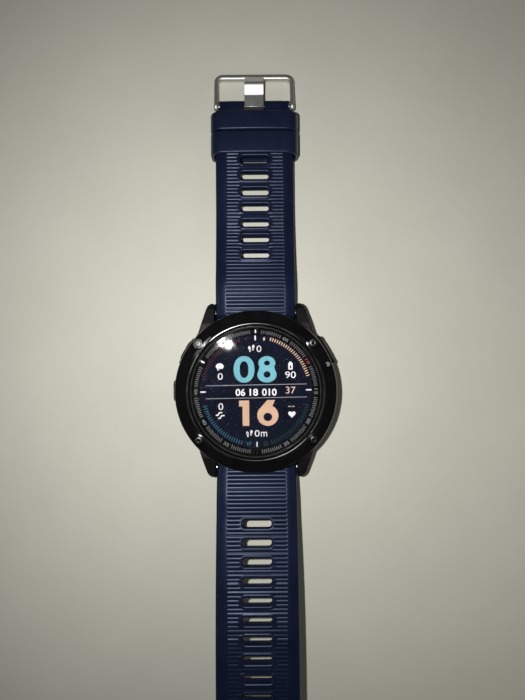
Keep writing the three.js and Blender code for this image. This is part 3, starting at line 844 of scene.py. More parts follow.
def strap_pieces(half, name, body, hinges, reach):
    """Lengths of strap, one round each hinge, that meet between the hinges."""
    full = half.line.length
    seams = [half.crest_near(a + (b - a) * share) for a, b, share in zip(hinges, hinges[1:], reach)]
    starts = [-ROOT_THICK / 2] + seams
    end = full + (1.2 if half.tip == "round" else STRAP_THICK / 2)
    ends = seams + [end]
    for n, (start, stop, hinge) in enumerate(zip(starts, ends, hinges), 1):
        made = strap_piece(f"{name}_skin_{n}", half, start, stop)
        bend = 5.0
        mid_point(half, hinge - bend)
        mid_point(half, hinge + bend)
        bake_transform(made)
        stands_for = [f"{body}_{n}"] + ([f"{body}_{n + 1}"] if n == len(hinges) else [])
        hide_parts(*stands_for)


tail_hinges = [17.6 + 5.65 * (n - 0.5) for n in (4, 8, 12, 16)]
buckle_hinges = [18.9 + 5.3 * (n - 0.5) for n in (1, 4)]
strap_pieces(tail, "strap_tail", "strap_tail", tail_hinges, (0.5, 0.5, 0.5))
strap_pieces(buckle_half, "strap_buckle", "strap_buckle", buckle_hinges, (0.34,))


# ------------------------------------------------------------------ strap loops


def loop_outline(width, height, corner, crown, steps=10):
    """A loop seen along the strap: flat base, rounded corners and a crowned top, from z = 0."""
    w = width / 2
    shoulder = height - 0.25
    points = [(-w, 0.0), (w, 0.0), (w, shoulder), (0.0, height + crown), (-w, shoulder)]
    return fillet(points, [2.3, 2.3, corner, 18.0, corner], steps)


def resampled(points, count):
    """The same closed outline with evenly spaced points."""
    closed = [Vector(p) for p in points] + [Vector(points[0])]
    lengths = [0.0]
    for a, b in zip(closed, closed[1:]):
        lengths.append(lengths[-1] + (b - a).length)
    even = []
    k = 0
    for i in range(count):
        target = lengths[-1] * i / count
        while lengths[k + 1] < target:
            k += 1
        share = (target - lengths[k]) / max(lengths[k + 1] - lengths[k], 1e-9)
        even.append(tuple(closed[k].lerp(closed[k + 1], share)))
    return even


def strap_loop(name, node, body):
    """A silicone band round the strap, with soft edges and an eased top."""
    low, high = node_box(node)
    y_mid, length = (low.y + high.y) / 2, high.y - low.y
    width, height, wall = high.x - low.x, high.z - low.z, 1.05
    outer = resampled(loop_outline(width, height - 0.35, 5.4, 0.35), 220)
    inner = [(x * (1 - 2 * wall / width), wall + z * (1 - 2 * wall / height)) for x, z in outer]
    rings = []
    edge, steps = 0.62, 7
    for k in range(steps + 1):
        angle = math.pi / 2 * k / steps
        inset, back = edge * (1 - math.sin(angle)), edge * (1 - math.cos(angle))
        rings.append((inset_outline(outer, inset), -length / 2 + back))
    for k in range(steps + 1):
        angle = math.pi / 2 * (1 - k / steps)
        inset, back = edge * (1 - math.sin(angle)), edge * (1 - math.cos(angle))
        rings.append((inset_outline(outer, inset), length / 2 - back))
    rings.append((inner, length / 2 - 0.15))
    rings.append((inner, -length / 2 + 0.15))
    points = [[(x, y_mid + y, z) for x, z in outline] for outline, y in rings]
    made = piece(name, *loft(points, closed=True), loop_navy, 50.0)
    on_body(made, body, "loop_silicone", node)


strap_loop("fixed_loop_skin", "fixed_strap_loop", "strap_buckle_3")
strap_loop("sliding_loop_skin", "sliding_strap_loop", "sliding_strap_loop")


# ------------------------------------------------------------------ buckle

BUCKLE_TILT = math.radians(10.4)
BUCKLE_PLACE = Matrix.Translation((0, BUCKLE_BAR.x, BUCKLE_BAR.y)) @ Matrix.Rotation(
    -BUCKLE_TILT, 4, "X"
)


def buckle_frame():
    """Three sides of rounded steel bar, its legs ending round the buckle bar."""
    half, reach = 13.35, 11.6
    leg, bar, thick = 1.45, 1.95, 2.0
    corner = 2.2
    x_mid, y_mid = half - leg / 2, reach - bar / 2
    path = [(-x_mid, -1.3 * math.cos(k * math.pi / 14)) for k in range(8)]
    path += [(-x_mid, y) for y in (1.0, 2.5, 4.0, 5.5, 7.0)]
    bend = [math.pi / 2 * k / 10 for k in range(11)]
    path += [(-x_mid + corner * (1 - math.cos(a)), y_mid - corner * (1 - math.sin(a))) for a in bend]
    path += [(x, y_mid) for x in (-8.0, -5.0, -2.0, 0.0)]
    path += [(-x, y) for x, y in reversed(path[:-1])]
    rings = []
    for i, here in enumerate(path):
        before = path[max(i - 1, 0)]
        after = path[min(i + 1, len(path) - 1)]
        along = (Vector(after) - Vector(before)).normalized()
        side = Vector((-along.y, along.x))
        across_bar = abs(along.x)
        width = leg + (bar - leg) * across_bar
        height = thick
        if here[1] < 0:
            height = max(2 * math.sqrt(max(1.3 ** 2 - here[1] ** 2, 0.0)), 0.12)
        section = rounded_rectangle(width, height, min(0.72, height * 0.45), 5)
        rings.append([(here[0] + side.x * a, here[1] + side.y * a, b) for a, b in section])
    verts, faces = loft(rings)
    made = piece("buckle_frame_bar", moved(verts, BUCKLE_PLACE), faces, buckle_steel, 40.0)
    on_body(made, "buckle_frame", "buckle_steel", "buckle_frame")


def buckle_tongue():
    """A flat wide tongue curled round the bar, rising to a fold and resting its tip on the frame."""
    curl = [(-1.1, 1.5), (-1.0, -0.6), (-0.8, -1.3), (0.5, -1.4), (1.3, -0.7), (1.55, 0.3)]
    arm = [(1.9, 0.8), (3.3, 1.0), (6.15, 2.65), (8.9, 1.1), (9.3, 0.95), (9.75, 1.05), (9.75, 1.5),
           (6.1, 3.7), (2.9, 1.85)]
    rounding = [0.08, 0.5, 0.5, 0.6, 0.4, 0.4, 0.4, 0.6, 1.0, 0.3, 0.1, 0.1, 0.25, 0.9, 0.3]
    side = fillet(curl + arm, rounding, 5)
    half, edge = 3.15, 0.16
    side = side[::-1] if signed_area(side) < 0 else side
    rings = []
    for x, inset in ((-half, edge), (-half + 0.05, 0.06), (-half + edge, 0), (half - edge, 0),
                     (half - 0.05, 0.06), (half, edge)):
        rings.append([(x, y, z) for y, z in inset_outline(side, inset)])
    verts, faces = loft(rings)
    made = piece("buckle_tongue_plate", moved(verts, BUCKLE_PLACE), faces, tongue_steel, 30.0,
                 weighted=True)
    on_body(made, "buckle_tongue", "buckle_steel", "buckle_tongue")


def signed_area(points):
    return sum(a[0] * b[1] - b[0] * a[1] for a, b in zip(points, points[1:] + points[:1])) / 2


buckle_frame()
buckle_tongue()


# ------------------------------------------------------------------ bezel

BEZEL_SCREWS = [math.radians(a) for a in (40, 140, 220, 320)]
SCREW_CIRCLE = 23.5
LIP_FLAT = 21.15


def bezel():
    """A glossy ring: narrow raised lip round the glass, sloping face, four screw seats with flats."""
    lip = fillet([(20.42, 12.1), (20.42, 14.30), (20.95, 14.86), (21.34, 14.88), (21.66, 14.42)],
                 [0, 0.1, 0.12, 0.12, 0.1], 4, closed=False)
    face = [(21.66 + 0.13 * k, 14.42 - 0.036 * k - 0.12 * math.sin(min(k / 6, 1) * math.pi / 2))
            for k in range(1, 25)]
    rim = fillet([face[-1], (25.15, 13.3), (25.4, 12.6), (25.4, 10.7), (24.9, 9.9), (24.4, 9.8),
                  (19.3, 9.8), (19.3, 12.1)], [0, 0.3, 0.3, 0.3, 0.2, 0.1, 0.1, 0.1], 4, closed=False)
    profile = lip + face + rim[1:]
    seat_z, seat_r = 12.75, 1.62
    steps = 720
    centres = [Vector((math.cos(a), math.sin(a))) for a in BEZEL_SCREWS]
    rings = []
    for i in range(steps):
        angle = 2 * math.pi * i / steps
        direction = Vector((math.cos(angle), math.sin(angle)))
        ring = []
        for r, z in profile:
            place = direction * r
            if z > 13.2 and r > 20.8:
                for centre in centres:
                    beyond = place.dot(centre) - LIP_FLAT
                    if -0.3 < beyond and r < 22.4 and (place - centre * r).length < 4.5:
                        cut = smoothstep(-0.12, 0.06, beyond)
                        z = min(z, z + (14.16 - 0.04 * (r - 21) - z) * cut)
                    off = (place - centre * SCREW_CIRCLE).length
                    if off < 2.3:
                        z += 0.10 * (1 - smoothstep(1.75, 2.2, off))
                        z += (seat_z - z) * (1 - smoothstep(seat_r - 0.12, seat_r, off))
            ring.append((place.x, place.y, z))
        rings.append(ring)
    verts = [point for ring in rings for point in ring]
    faces = grid_faces(steps, len(profile), wrap_rows=True)
    made = piece("bezel_ring", verts, faces, bezel_black, 32.0)
    on_body(made, "case", "bezel_black", "bezel")


bezel()


def screw(name, node, x, y, top, head, up, body="case"):
    """A screw head with an eased rim and a six-sided socket, on a plain shank."""
    low, high = node_box(node)
    length = high.z - low.z
    steps = 48

    def ring(radius, z, six=0.0):
        points = []
        for k in range(steps):
            angle = 2 * math.pi * k / steps
            part = (angle + math.pi / 6) % (math.pi / 3) - math.pi / 6
            hexagon = math.cos(math.pi / 6) / math.cos(part)
            r = radius * (1 + (hexagon - 1) * six)
            points.append((x + r * math.cos(angle), y + r * math.sin(angle), top + up * z))
        return points

    rings = [
        ring(0.02, -1.0), ring(head * 0.48, -0.7, 1), ring(head * 0.48, -0.06, 1),
        ring(head * 0.54, 0.0, 0.8), ring(head * 0.84, 0.0), ring(head * 0.95, -0.05),
        ring(head, -0.16), ring(head, -1.25), ring(0.7, -1.3), ring(0.7, 0.3 - length),
        ring(0.4, -length), ring(0.02, -length),
    ]
    made = piece(name, *loft(rings), screw_dark, 35.0)
    on_body(made, body, "screw_steel", node)


def bezel_mark():
    """A small ring and dot set in the bezel beside the start button."""
    for name, inner, outer in (("ring", 0.42, 0.66), ("dot", 0.0, 0.22)):
        profile = [(inner, 0.0), (outer, 0.0), (outer, 0.09), (inner, 0.09)]
        mark = turned(f"bezel_mark_{name}", profile, mark_steel, 40, closed=inner > 0)
        mark.data.transform(Matrix.Translation((22.35 * MM, 8.45 * MM, 13.70 * MM)))
        on_body(mark, "case", "screw_steel")


bezel_mark()

PLACES = ("top_right", "top_left", "bottom_left", "bottom_right")
for place, angle in zip(PLACES, BEZEL_SCREWS):
    screw(
        f"bezel_screw_head_{place}", f"bezel_screw_{place}",
        SCREW_CIRCLE * math.cos(angle), SCREW_CIRCLE * math.sin(angle), 13.4, 1.2, 1,
    )


# ------------------------------------------------------------------ glass, chapter ring, display

GLASS_R = 19.95
lens = turned("lens_disc", fillet(
    [(0, 13.32), (GLASS_R - 0.4, 13.32), (GLASS_R, 13.32), (GLASS_R, 14.2), (GLASS_R - 0.32, 14.5),
     (GLASS_R - 0.7, 14.5), (0, 14.5)],
    [0, 0, 0.05, 0.05, 0.1, 0, 0], 3, closed=False,
), lens_glass, 192, closed=False)
on_body(lens, "case", "lens_glass", "lens")

DISPLAY_TOP = 12.1
display = turned("display_disc", [
    (0, 11.0), (18.5, 11.0), (18.5, DISPLAY_TOP), (0, DISPLAY_TOP),
], display_dark, 128, closed=False)
on_body(display, "case", "display_panel", "display_module")

ring_slope = (12.45 - 13.0) / (17.7 - 19.6)


def ring_height(r):
    """Height of the chapter ring's sloping face at a radius."""
    return 12.45 + (r - 17.7) * ring_slope


chapter = turned("chapter_ring_face", fillet([
    (17.7, 12.16), (20.0, 12.16), (20.0, 13.02), (19.7, 13.02), (17.7, 12.45),
], 0.06, 3), ring_black, 192)
on_body(chapter, "case", "carrier_black", "chapter_ring")


def flat_bar(x, y, length, width, angle, z, depth=0.06, rise=0.0):
    """Corners and faces of a thin bar on a face, centred on a place and turned by an angle."""
    c, s = math.cos(angle), math.sin(angle)
    corners = []
    for level in (z, z + depth):
        for a, b in ((-1, -1), (1, -1), (1, 1), (-1, 1)):
            u, v = a * length / 2, b * width / 2
            lift = rise * a / 2
            corners.append((x + u * c - v * s, y + u * s + v * c, level + lift))
    faces = [(0, 3, 2, 1), (4, 5, 6, 7), (0, 1, 5, 4), (1, 2, 6, 5), (2, 3, 7, 6), (3, 0, 4, 7)]
    return corners, faces


def bars_piece(name, bars, material, slot):
    verts, faces = [], []
    for corners, quads in bars:
        base = len(verts)
        verts += corners
        faces += [tuple(base + k for k in quad) for quad in quads]
    made = piece(name, verts, faces, material)
    on_body(made, "case", slot)


def ring_bar(degrees, inner, outer, width):
    """A radial tick on the chapter ring's slope."""
    angle = math.radians(degrees)
    middle = (inner + outer) / 2
    rise = (outer - inner) * ring_slope
    z = ring_height(middle)
    return flat_bar(middle * math.cos(angle), middle * math.sin(angle), outer - inner, width,
                    angle, z, 0.04, rise)


TICKS_PER_MINUTE = 3
QUARTER_TURNS = (0, 15, 30, 45)
fine_ticks = []
for n in range(60 * TICKS_PER_MINUTE):
    minute = n / TICKS_PER_MINUTE
    from_mark = min(abs(minute - 5 * k) for k in range(13))
    if from_mark < (0.9 if round(minute / 5) * 5 % 60 not in QUARTER_TURNS else 0.7):
        continue
    inner = 18.2 if n % TICKS_PER_MINUTE else 18.05
    fine_ticks.append(ring_bar(90 - minute * 6, inner, 19.2, 0.19))
bars_piece("chapter_ticks", fine_ticks, ink_ring, "carrier_black")
bars_piece("chapter_main_marks", [
    ring_bar(90, 18.35, 19.3, 0.36), ring_bar(150.3, 18.35, 19.45, 0.40),
], ink_ring_white, "carrier_black")


def figures(body, x, y, width, height, z, turn=0.0, weight=0.0, lean=0.0):
    """Plain figures that fill a box centred on a place, as a thin mesh in millimetres."""
    curve = bpy.data.curves.new("figures", "FONT")
    curve.body = body
    curve.size = 1.0
    curve.offset = weight
    curve.extrude = 0.5
    curve.resolution_u = 6
    text = bpy.data.objects.new("figures", curve)
    scene.collection.objects.link(text)
    mesh = evaluated(text)
    bpy.data.objects.remove(text)
    xs = [v.co.x for v in mesh.vertices]
    ys = [v.co.y for v in mesh.vertices]
    centre = Vector(((min(xs) + max(xs)) / 2, (min(ys) + max(ys)) / 2, 0))
    size = (width / (max(xs) - min(xs)), height / (max(ys) - min(ys)), DIAL_DEPTH, 1)
    place = Matrix.Translation((x, y, z + DIAL_DEPTH / 2))
    place = place @ Matrix.Rotation(turn, 4, "Z") @ Matrix.Rotation(lean, 4, "X")
    mesh.transform(place @ Matrix.Diagonal(size) @ Matrix.Translation(-centre))
    return mesh


def figures_piece(name, meshes, material, slot):
    """Joins figure meshes drawn in millimetres into one piece."""
    work = bmesh.new()
    for mesh in meshes:
        work.from_mesh(mesh)
    bmesh.ops.scale(work, vec=(MM, MM, MM), verts=work.verts)
    mesh = bpy.data.meshes.new(name)
    work.to_mesh(mesh)
    work.free()
    made = from_mesh(name, mesh, material)
    on_body(made, "case", slot)


DIAL_Z = DISPLAY_TOP + 0.01
DIAL_DEPTH = 0.05
RING_FIGURE_R = 18.68


def ring_figure(minute):
    """A minute numeral on the chapter ring, upright in each half of the dial."""
    angle = math.radians(90 - minute * 6)
    upper = math.sin(angle) > -0.1
    turn = angle - math.pi / 2 if upper else angle + math.pi / 2
    lean = math.atan(ring_slope) * (1 if upper else -1)
    x, y = RING_FIGURE_R * math.cos(angle), RING_FIGURE_R * math.sin(angle)
    return figures(f"{minute:02d}", x, y, 1.75, 1.0, ring_height(RING_FIGURE_R), turn, 0.0, lean)


figures_piece("chapter_figures", [
    ring_figure(minute) for minute in (5, 15, 20, 25, 35, 40, 45, 55)
], ink_ring_light, "carrier_black")
figures_piece("chapter_figure_red", [ring_figure(10)], ink_ring_red, "carrier_black")


# ------------------------------------------------------------------ dial graphics


def ellipse(cx, cy, rx, ry, steps=48, power=2.0):
    """A closed ellipse or, with a higher power, a squarer one."""
    points = []
    for k in range(steps):
        a = 2 * math.pi * k / steps
        c, s = math.cos(a), math.sin(a)
        points.append((
            cx + rx * math.copysign(abs(c) ** (2 / power), c),
            cy + ry * math.copysign(abs(s) ** (2 / power), s),
        ))
    return points


def filled(name, outlines, material, slot="display_panel", z=DIAL_Z):
    """A thin flat piece from closed outlines, where an outline inside another is a hole."""
    curve = bpy.data.curves.new(name, "CURVE")
    curve.dimensions = "2D"
    curve.fill_mode = "BOTH"
    curve.extrude = DIAL_DEPTH / 2 * MM
    for points in outlines:
        spline = curve.splines.new("POLY")
        spline.points.add(len(points) - 1)
        for target, (x, y) in zip(spline.points, points):
            target.co = (x * MM, y * MM, 0, 1)
        spline.use_cyclic_u = True
    drawn = bpy.data.objects.new(name, curve)
    scene.collection.objects.link(drawn)
    mesh = evaluated(drawn)
    bpy.data.objects.remove(drawn)
    mesh.transform(Matrix.Translation((0, 0, (z + DIAL_DEPTH / 2) * MM)))
    made = from_mesh(name, mesh, material)
    on_body(made, "case", slot)
    return made


def arc(cx, cy, rx, ry, start, end, steps=24):
    points = []
    for k in range(steps + 1):
        angle = math.radians(start + (end - start) * k / steps)
        points.append((cx + rx * math.cos(angle), cy + ry * math.sin(angle)))
    return points


def eight(cx, cy):
    """The outline and the two holes of a bold eight, 8.2 high."""
    upper = arc(cx, cy + 1.98, 2.66, 2.15, -31, 211, 30)
    lower = arc(cx, cy - 1.66, 3.02, 2.45, 149, 391, 30)
    holes = [ellipse(cx + 0.05, cy + 1.98, 0.92, 0.78), ellipse(cx + 0.05, cy - 1.6, 1.08, 1.02)]
    return [upper + lower, *holes]


def dial_digits():
    """The two big pairs of digits, and the small plain figures round them."""
    zero = [ellipse(-3.65, 6.97, 3.25, 4.15, 64, 2.15), ellipse(-3.65, 6.9, 1.38, 2.6, 40, 2.3)]
    filled("dial_hours", zero + eight(3.48, 6.92), ink_teal)
    one = [(-5.3, -2.8), (-2.15, -2.75), (-2.15, -10.65), (-4.2, -10.65), (-4.2, -4.6), (-5.3, -4.6)]
    bowl = arc(3.67, -7.45, 3.3, 3.27, 130, 424, 48)
    six = bowl + [(5.95, -2.65), (3.55, -2.65)]
    filled("dial_minutes", [one, six, ellipse(3.67, -7.95, 1.36, 1.28)], ink_peach)
    figures_piece("dial_date", [
        figures("06", -4.85, -0.2, 3.0, 2.2, DIAL_Z, weight=0.02),
        figures("18", -0.65, -0.2, 2.65, 2.2, DIAL_Z, weight=0.02),
        figures("010", 4.2, -0.2, 4.55, 2.2, DIAL_Z, weight=0.02),
    ], ink_white, "display_panel")
    figures_piece("dial_small_white", [
        figures("0", -11.1, 4.8, 1.55, 2.05, DIAL_Z),
        figures("90", 10.85, 5.18, 3.3, 2.05, DIAL_Z),
        figures("0", -11.0, -4.62, 1.5, 2.1, DIAL_Z),
        figures("0", 1.05, 13.38, 1.5, 2.0, DIAL_Z),
        figures("0", 0.3, -13.05, 1.55, 2.0, DIAL_Z),
        figures("m", 2.45, -13.3, 1.95, 1.45, DIAL_Z),
    ], ink_white, "display_panel")
    figures_piece("dial_small_tan", [
        figures("37", 10.85, 0.4, 3.0, 2.15, DIAL_Z),
    ], ink_tan, "display_panel")


dial_digits()


def bolt(cx, cy, size):
    """A small lightning flash."""
    shape = [(0.25, 1.0), (-0.55, -0.15), (-0.02, -0.15), (-0.25, -1.0), (0.55, 0.2), (0.02, 0.2)]
    return [(cx + x * size, cy + y * size) for x, y in shape]


def slanted(points, cx, cy, degrees):
    """The same outline turned about a place."""
    c, s = math.cos(math.radians(degrees)), math.sin(math.radians(degrees))
    return [(cx + (x - cx) * c - (y - cy) * s, cy + (x - cx) * s + (y - cy) * c) for x, y in points]


def heart(cx, cy, size):
    points = []
    for k in range(40):
        t = 2 * math.pi * k / 40
        x = 16 * math.sin(t) ** 3
        y = 13 * math.cos(t) - 5 * math.cos(2 * t) - 2 * math.cos(3 * t) - math.cos(4 * t)
        points.append((cx + x * size / 17, cy + (y + 2.5) * size / 17))
    return points


def foot(cx, cy, size, lean):
    """A shoe print: a sole and a heel, leaning to one side."""
    sole = slanted(ellipse(cx, cy + 0.32 * size, 0.42 * size, 0.66 * size, 20), cx, cy, lean)
    heel = slanted(ellipse(cx, cy - 0.72 * size, 0.3 * size, 0.26 * size, 14), cx, cy, lean)
    return [sole, heel]


def tick_gauge(start, end, step, inner, outer, width=0.22):
    """Radial ticks between two angles in degrees."""
    bars = []
    count = int(abs(end - start) / step)
    for k in range(count + 1):
        angle = math.radians(start + (end - start) * k / count)
        r = (inner + outer) / 2
        bars.append(flat_bar(r * math.cos(angle), r * math.sin(angle), outer - inner, width,
                             angle, DIAL_Z, DIAL_DEPTH))
    return bars


def dial_icons():
    """Small plain marks: a speech bubble, a battery, a heart, shoe prints and gauges."""
    bubble = ellipse(-11.25, 7.95, 1.22, 0.95, 28)
    bubble_tail = [(-12.05, 7.35), (-11.2, 7.02), (-11.95, 6.6)]
    battery = [(x + 10.85, y + 7.85) for x, y in rounded_rectangle(1.35, 2.15, 0.3, 3)]
    battery_mark = [(x + 10.85, y + 7.6) for x, y in rounded_rectangle(0.45, 1.0, 0.1, 2)]
    battery_cap = [(10.5, 8.98), (11.2, 8.98), (11.2, 9.28), (10.5, 9.28)]
    step = [(-1.0, -0.55), (-0.3, -0.55), (0.25, 0.3), (1.0, 0.3), (1.0, 0.62), (0.0, 0.62),
            (-0.5, -0.2), (-1.0, -0.2)]
    slashes = [[(x - 11.55, y - 6.95) for x, y in step], [(x - 10.85, y - 7.9) for x, y in step]]
    prints = foot(-1.85, 13.35, 0.9, 10) + foot(-0.75, 13.75, 0.9, -8)
    low_prints = foot(-2.7, -13.3, 0.85, 10) + foot(-1.55, -12.85, 0.85, -8)
    low_hole = slanted(ellipse(-2.75, -13.05, 0.17, 0.34, 14), -2.7, -13.3, 10)
    filled("dial_icons_white", [
        bubble, bubble_tail, battery, battery_mark, battery_cap, heart(11.2, -7.3, 1.2),
        *slashes, *prints, *low_prints, low_hole,
    ], ink_white)
    bars_piece("dial_bars_white", [
        flat_bar(-16.5, -0.02, 1.65, 0.42, 0, DIAL_Z, DIAL_DEPTH),
        flat_bar(16.5, 0.45, 1.65, 0.40, 0, DIAL_Z, DIAL_DEPTH),
        flat_bar(-0.1, 16.75, 1.45, 0.40, math.pi / 2, DIAL_Z, DIAL_DEPTH),
        flat_bar(0.23, -16.45, 1.55, 0.32, math.pi / 2, DIAL_Z, DIAL_DEPTH),
    ], ink_white, "display_panel")
    bars_piece("dial_dashes", [
        flat_bar(10.5, -4.7, 0.8, 0.28, 0, DIAL_Z, DIAL_DEPTH),
        flat_bar(11.6, -4.7, 0.8, 0.28, 0, DIAL_Z, DIAL_DEPTH),
    ], ink_tan, "display_panel")
    bars_piece("dial_rules", [
        flat_bar(0.1, 2.1, 31.6, 0.17, 0.012, DIAL_Z, DIAL_DEPTH),
        flat_bar(0.1, -1.95, 31.6, 0.17, 0.012, DIAL_Z, DIAL_DEPTH),
    ], ink_grey, "display_panel")
    bars_piece("dial_gauge_orange", tick_gauge(74, 17, 2.5, 16.45, 17.5), ink_orange, "display_panel")
    bars_piece("dial_gauge_blue", tick_gauge(196, 254, 2.7, 15.95, 17.1), ink_blue, "display_panel")
    bars_piece("dial_gauge_red", tick_gauge(108, 166, 2.7, 16.3, 17.4), ink_red, "display_panel")
    bars_piece("dial_gauge_green", tick_gauge(-15, -73, 2.7, 15.9, 17.1), ink_green, "display_panel")
    filled("dial_flash_orange", [bolt(2.67, 16.4, 0.8)], ink_orange)
    filled("dial_mark_red", [slanted(bolt(-3.0, 16.5, 0.75), -3.0, 16.5, -20)], ink_red)
    filled("dial_mark_blue", foot(-2.65, -16.35, 0.55, 8) + foot(-1.95, -16.2, 0.55, -8), ink_blue)
    filled("dial_mark_green", [ellipse(3.0, -16.2, 0.68, 0.68, 24), ellipse(3.0, -16.2, 0.42, 0.42, 24)],
           ink_green)


dial_icons()


# ------------------------------------------------------------------ case middle

LUG_FACE = 13.1
CASE_BOTTOM, CASE_TOP = 3.9, 9.6
BUTTONS = {"start_button": 30, "light_button": 150, "up_button": 180,
           "down_button": 210, "back_button": 330}


def block(name, outline, bottom, top):
    """A plain prism used only as a tool for cutting and joining."""
    rings = [[(x, y, z) for x, y in outline] for z in (bottom, top)]
    return piece(name, *loft(rings), case_black)


def circle(radius, steps=128, x=0.0, y=0.0):
    return [(x + radius * math.cos(2 * math.pi * k / steps),
             y + radius * math.sin(2 * math.pi * k / steps)) for k in range(steps)]


def side_block(name, outline, x_from, x_to):
    """A prism drawn in YZ and extruded along X."""
    rings = [[(x, y, z) for y, z in outline] for x in (x_from, x_to)]
    return piece(name, *loft(rings), case_black)


def radial_block(name, outline, r_from, r_to, degrees):
    """A prism drawn in a plane across a radius of the case and extruded along that radius."""
    turn = Matrix.Rotation(math.radians(degrees), 4, "Z")
    rings = [[(r, y, z) for y, z in outline] for r in (r_from, r_to)]
    verts, faces = loft(rings)
    return piece(name, moved(verts, turn), faces, case_black)


BUTTON_Z = 6.7


def case_middle():
    """The case middle: round body, four lugs sloping to their tips, and a pocket at each button."""
    lug = [(LUG_FACE, 16), (20.6, 15), (18.3, 18.6), (15.9, 26.2), (15.4, 27.4), (14.6, 28.05),
           (13.8, 28.15), (LUG_FACE, 27.6)]
    lug_side = [(10, 2.6), (24, 2.6), (27.2, 3.4), (28.3, 4.6), (28.3, 6.8), (26.4, 8.4),
                (21.5, CASE_TOP), (10, CASE_TOP)]
    body = block("mid_case_shell", circle(25.5, 240), CASE_BOTTOM, CASE_TOP)
    for sx in (1, -1):
        for sy in (1, -1):
            plan = [(sx * x, sy * y) for x, y in lug]
            side = [(sy * y, z) for y, z in lug_side]
            arm = block("arm", plan, 0, 12)
            boolean(arm, side_block("arm_side", side, -30, 30), "INTERSECT")
            boolean(body, arm, "UNION")
    guards = [("start_button", 26.7, 5.0), ("light_button", 26.2, 4.6)]
    for name, reach, half in guards:
        guard = [(-half, 4.4), (half, 4.4), (half, 9.3), (-half, 9.3)]
        boolean(body, radial_block("guard", fillet(guard, 1.2), 22, reach - 0.3, BUTTONS[name]), "UNION")
    boolean(body, block("bore", circle(19.4), 0, 12), "DIFFERENCE")
    boolean(body, block("back_seat", circle(24.2), 0, CASE_BOTTOM), "DIFFERENCE")
    for side in (1, -1):
        recess = [(LUG_FACE, side * 22), (LUG_FACE, side * 31), (-LUG_FACE, side * 31),
                  (-LUG_FACE, side * 22)]
        boolean(body, block("recess", recess, 0, 12), "DIFFERENCE")
    for degrees in BUTTONS.values():
        pocket = [(y, BUTTON_Z + z) for y, z in rounded_rectangle(7.6, 4.2, 1.4)]
        boolean(body, radial_block("pocket", pocket, 24.25, 31, degrees), "DIFFERENCE")
    remesh = body.modifiers.new("remesh", "REMESH")
    remesh.mode = "VOXEL"
    remesh.voxel_size = 0.17 * MM
    soften = body.modifiers.new("soften", "SMOOTH")
    soften.factor = 0.5
    soften.iterations = 6
    mesh = evaluated(body)
    bpy.data.objects.remove(body)
    made = from_mesh("mid_case_body", mesh, case_black, 180.0)
    on_body(made, "case", "case_black", "mid_case")


case_middle()


# ------------------------------------------------------------------ buttons


def button(name, degrees):
    """A domed metal cap with eased edges on a round stem."""
    turn = Matrix.Rotation(math.radians(degrees), 4, "Z")
    reach = {"start_button": 26.9, "light_button": 26.6, "up_button": 26.7}.get(name, 26.5)
    stem_end, cap_from = 18.1, 25.05
    outline = rounded_rectangle(7.0, 3.6, 1.55, 8)
    count = len(outline)

    def stem_ring(radius, r):
        ring = []
        for y, z in outline:
            angle = math.atan2(z, y)
            ring.append((r, radius * math.cos(angle), BUTTON_Z + radius * math.sin(angle)))
        return ring

    def cap_ring(inset, r):
        scaled = inset_outline(outline, inset)
        return [(r, y, BUTTON_Z + z) for y, z in scaled]

    rings = [stem_ring(0.6, stem_end), stem_ring(1.0, stem_end + 0.3), stem_ring(1.0, cap_from - 0.02)]
    rings += [cap_ring(0.25, cap_from), cap_ring(0.0, cap_from + 0.25), cap_ring(0.0, reach - 0.75)]
    for k in range(1, 6):
        angle = math.pi / 2 * k / 5
        rings.append(cap_ring(0.5 * (1 - math.cos(angle)), reach - 0.75 + 0.55 * math.sin(angle)))
    rings += [cap_ring(0.9, reach - 0.1), cap_ring(1.25, reach)]
    assert all(len(ring) == count for ring in rings)
    verts, faces = loft(rings)
    made = piece(f"{name}_cap", moved(verts, turn), faces, button_black, 35.0)
    on_body(made, name, "button_metal", name)


for button_name, button_angle in BUTTONS.items():
    button(button_name, button_angle)


# ------------------------------------------------------------------ case back

CHARGING_Y = -16.5
BACK_SCREWS = [math.radians(a) for a in (45, 135, 225, 315)]
BACK_SCREW_CIRCLE = 22.4


def rear_cover():
    """The case back: a shallow dish with seats for the sensor, the screws and the charging port."""
    dish = turned("rear_cover_dish", fillet([
        (10.1, 0.72), (13, 0.92), (21.8, 2.0), (23.7, 2.9), (23.9, 3.6), (19.3, 3.6), (11.8, 2.6),
        (10.1, 2.5),
    ], [0.12, 0, 0.6, 0.4, 0.1, 0, 0, 0], 5), back_black, 240)
    for side in (1, -1):
        recess = [(LUG_FACE, side * 22), (LUG_FACE, side * 31), (-LUG_FACE, side * 31),
                  (-LUG_FACE, side * 22)]
        boolean(dish, block("recess", recess, 0, 6), "DIFFERENCE")
    port = [(x, CHARGING_Y + y) for x, y in rounded_rectangle(8.5, 4.3, 1.0)]
    boolean(dish, block("port", port, 0, 6), "DIFFERENCE")
    for angle in BACK_SCREWS:
        x, y = BACK_SCREW_CIRCLE * math.cos(angle), BACK_SCREW_CIRCLE * math.sin(angle)
        boolean(dish, block("seat", circle(1.72, 48, x, y), 0, 2.75), "DIFFERENCE")
        boolean(dish, block("hole", circle(0.9, 32, x, y), 0, 6), "DIFFERENCE")
    mesh = dish.data
    bpy.data.objects.remove(dish)
    made = from_mesh("rear_cover_shell", mesh, back_black, 25.0)
    on_body(made, "case", "back_black", "rear_cover")


rear_cover()

for place, angle in zip(PLACES, BACK_SCREWS):
    screw(
        f"rear_screw_head_{place}", f"rear_cover_screw_{place}",
        BACK_SCREW_CIRCLE * math.cos(angle), BACK_SCREW_CIRCLE * math.sin(angle), 1.95, 1.45, -1,
    )

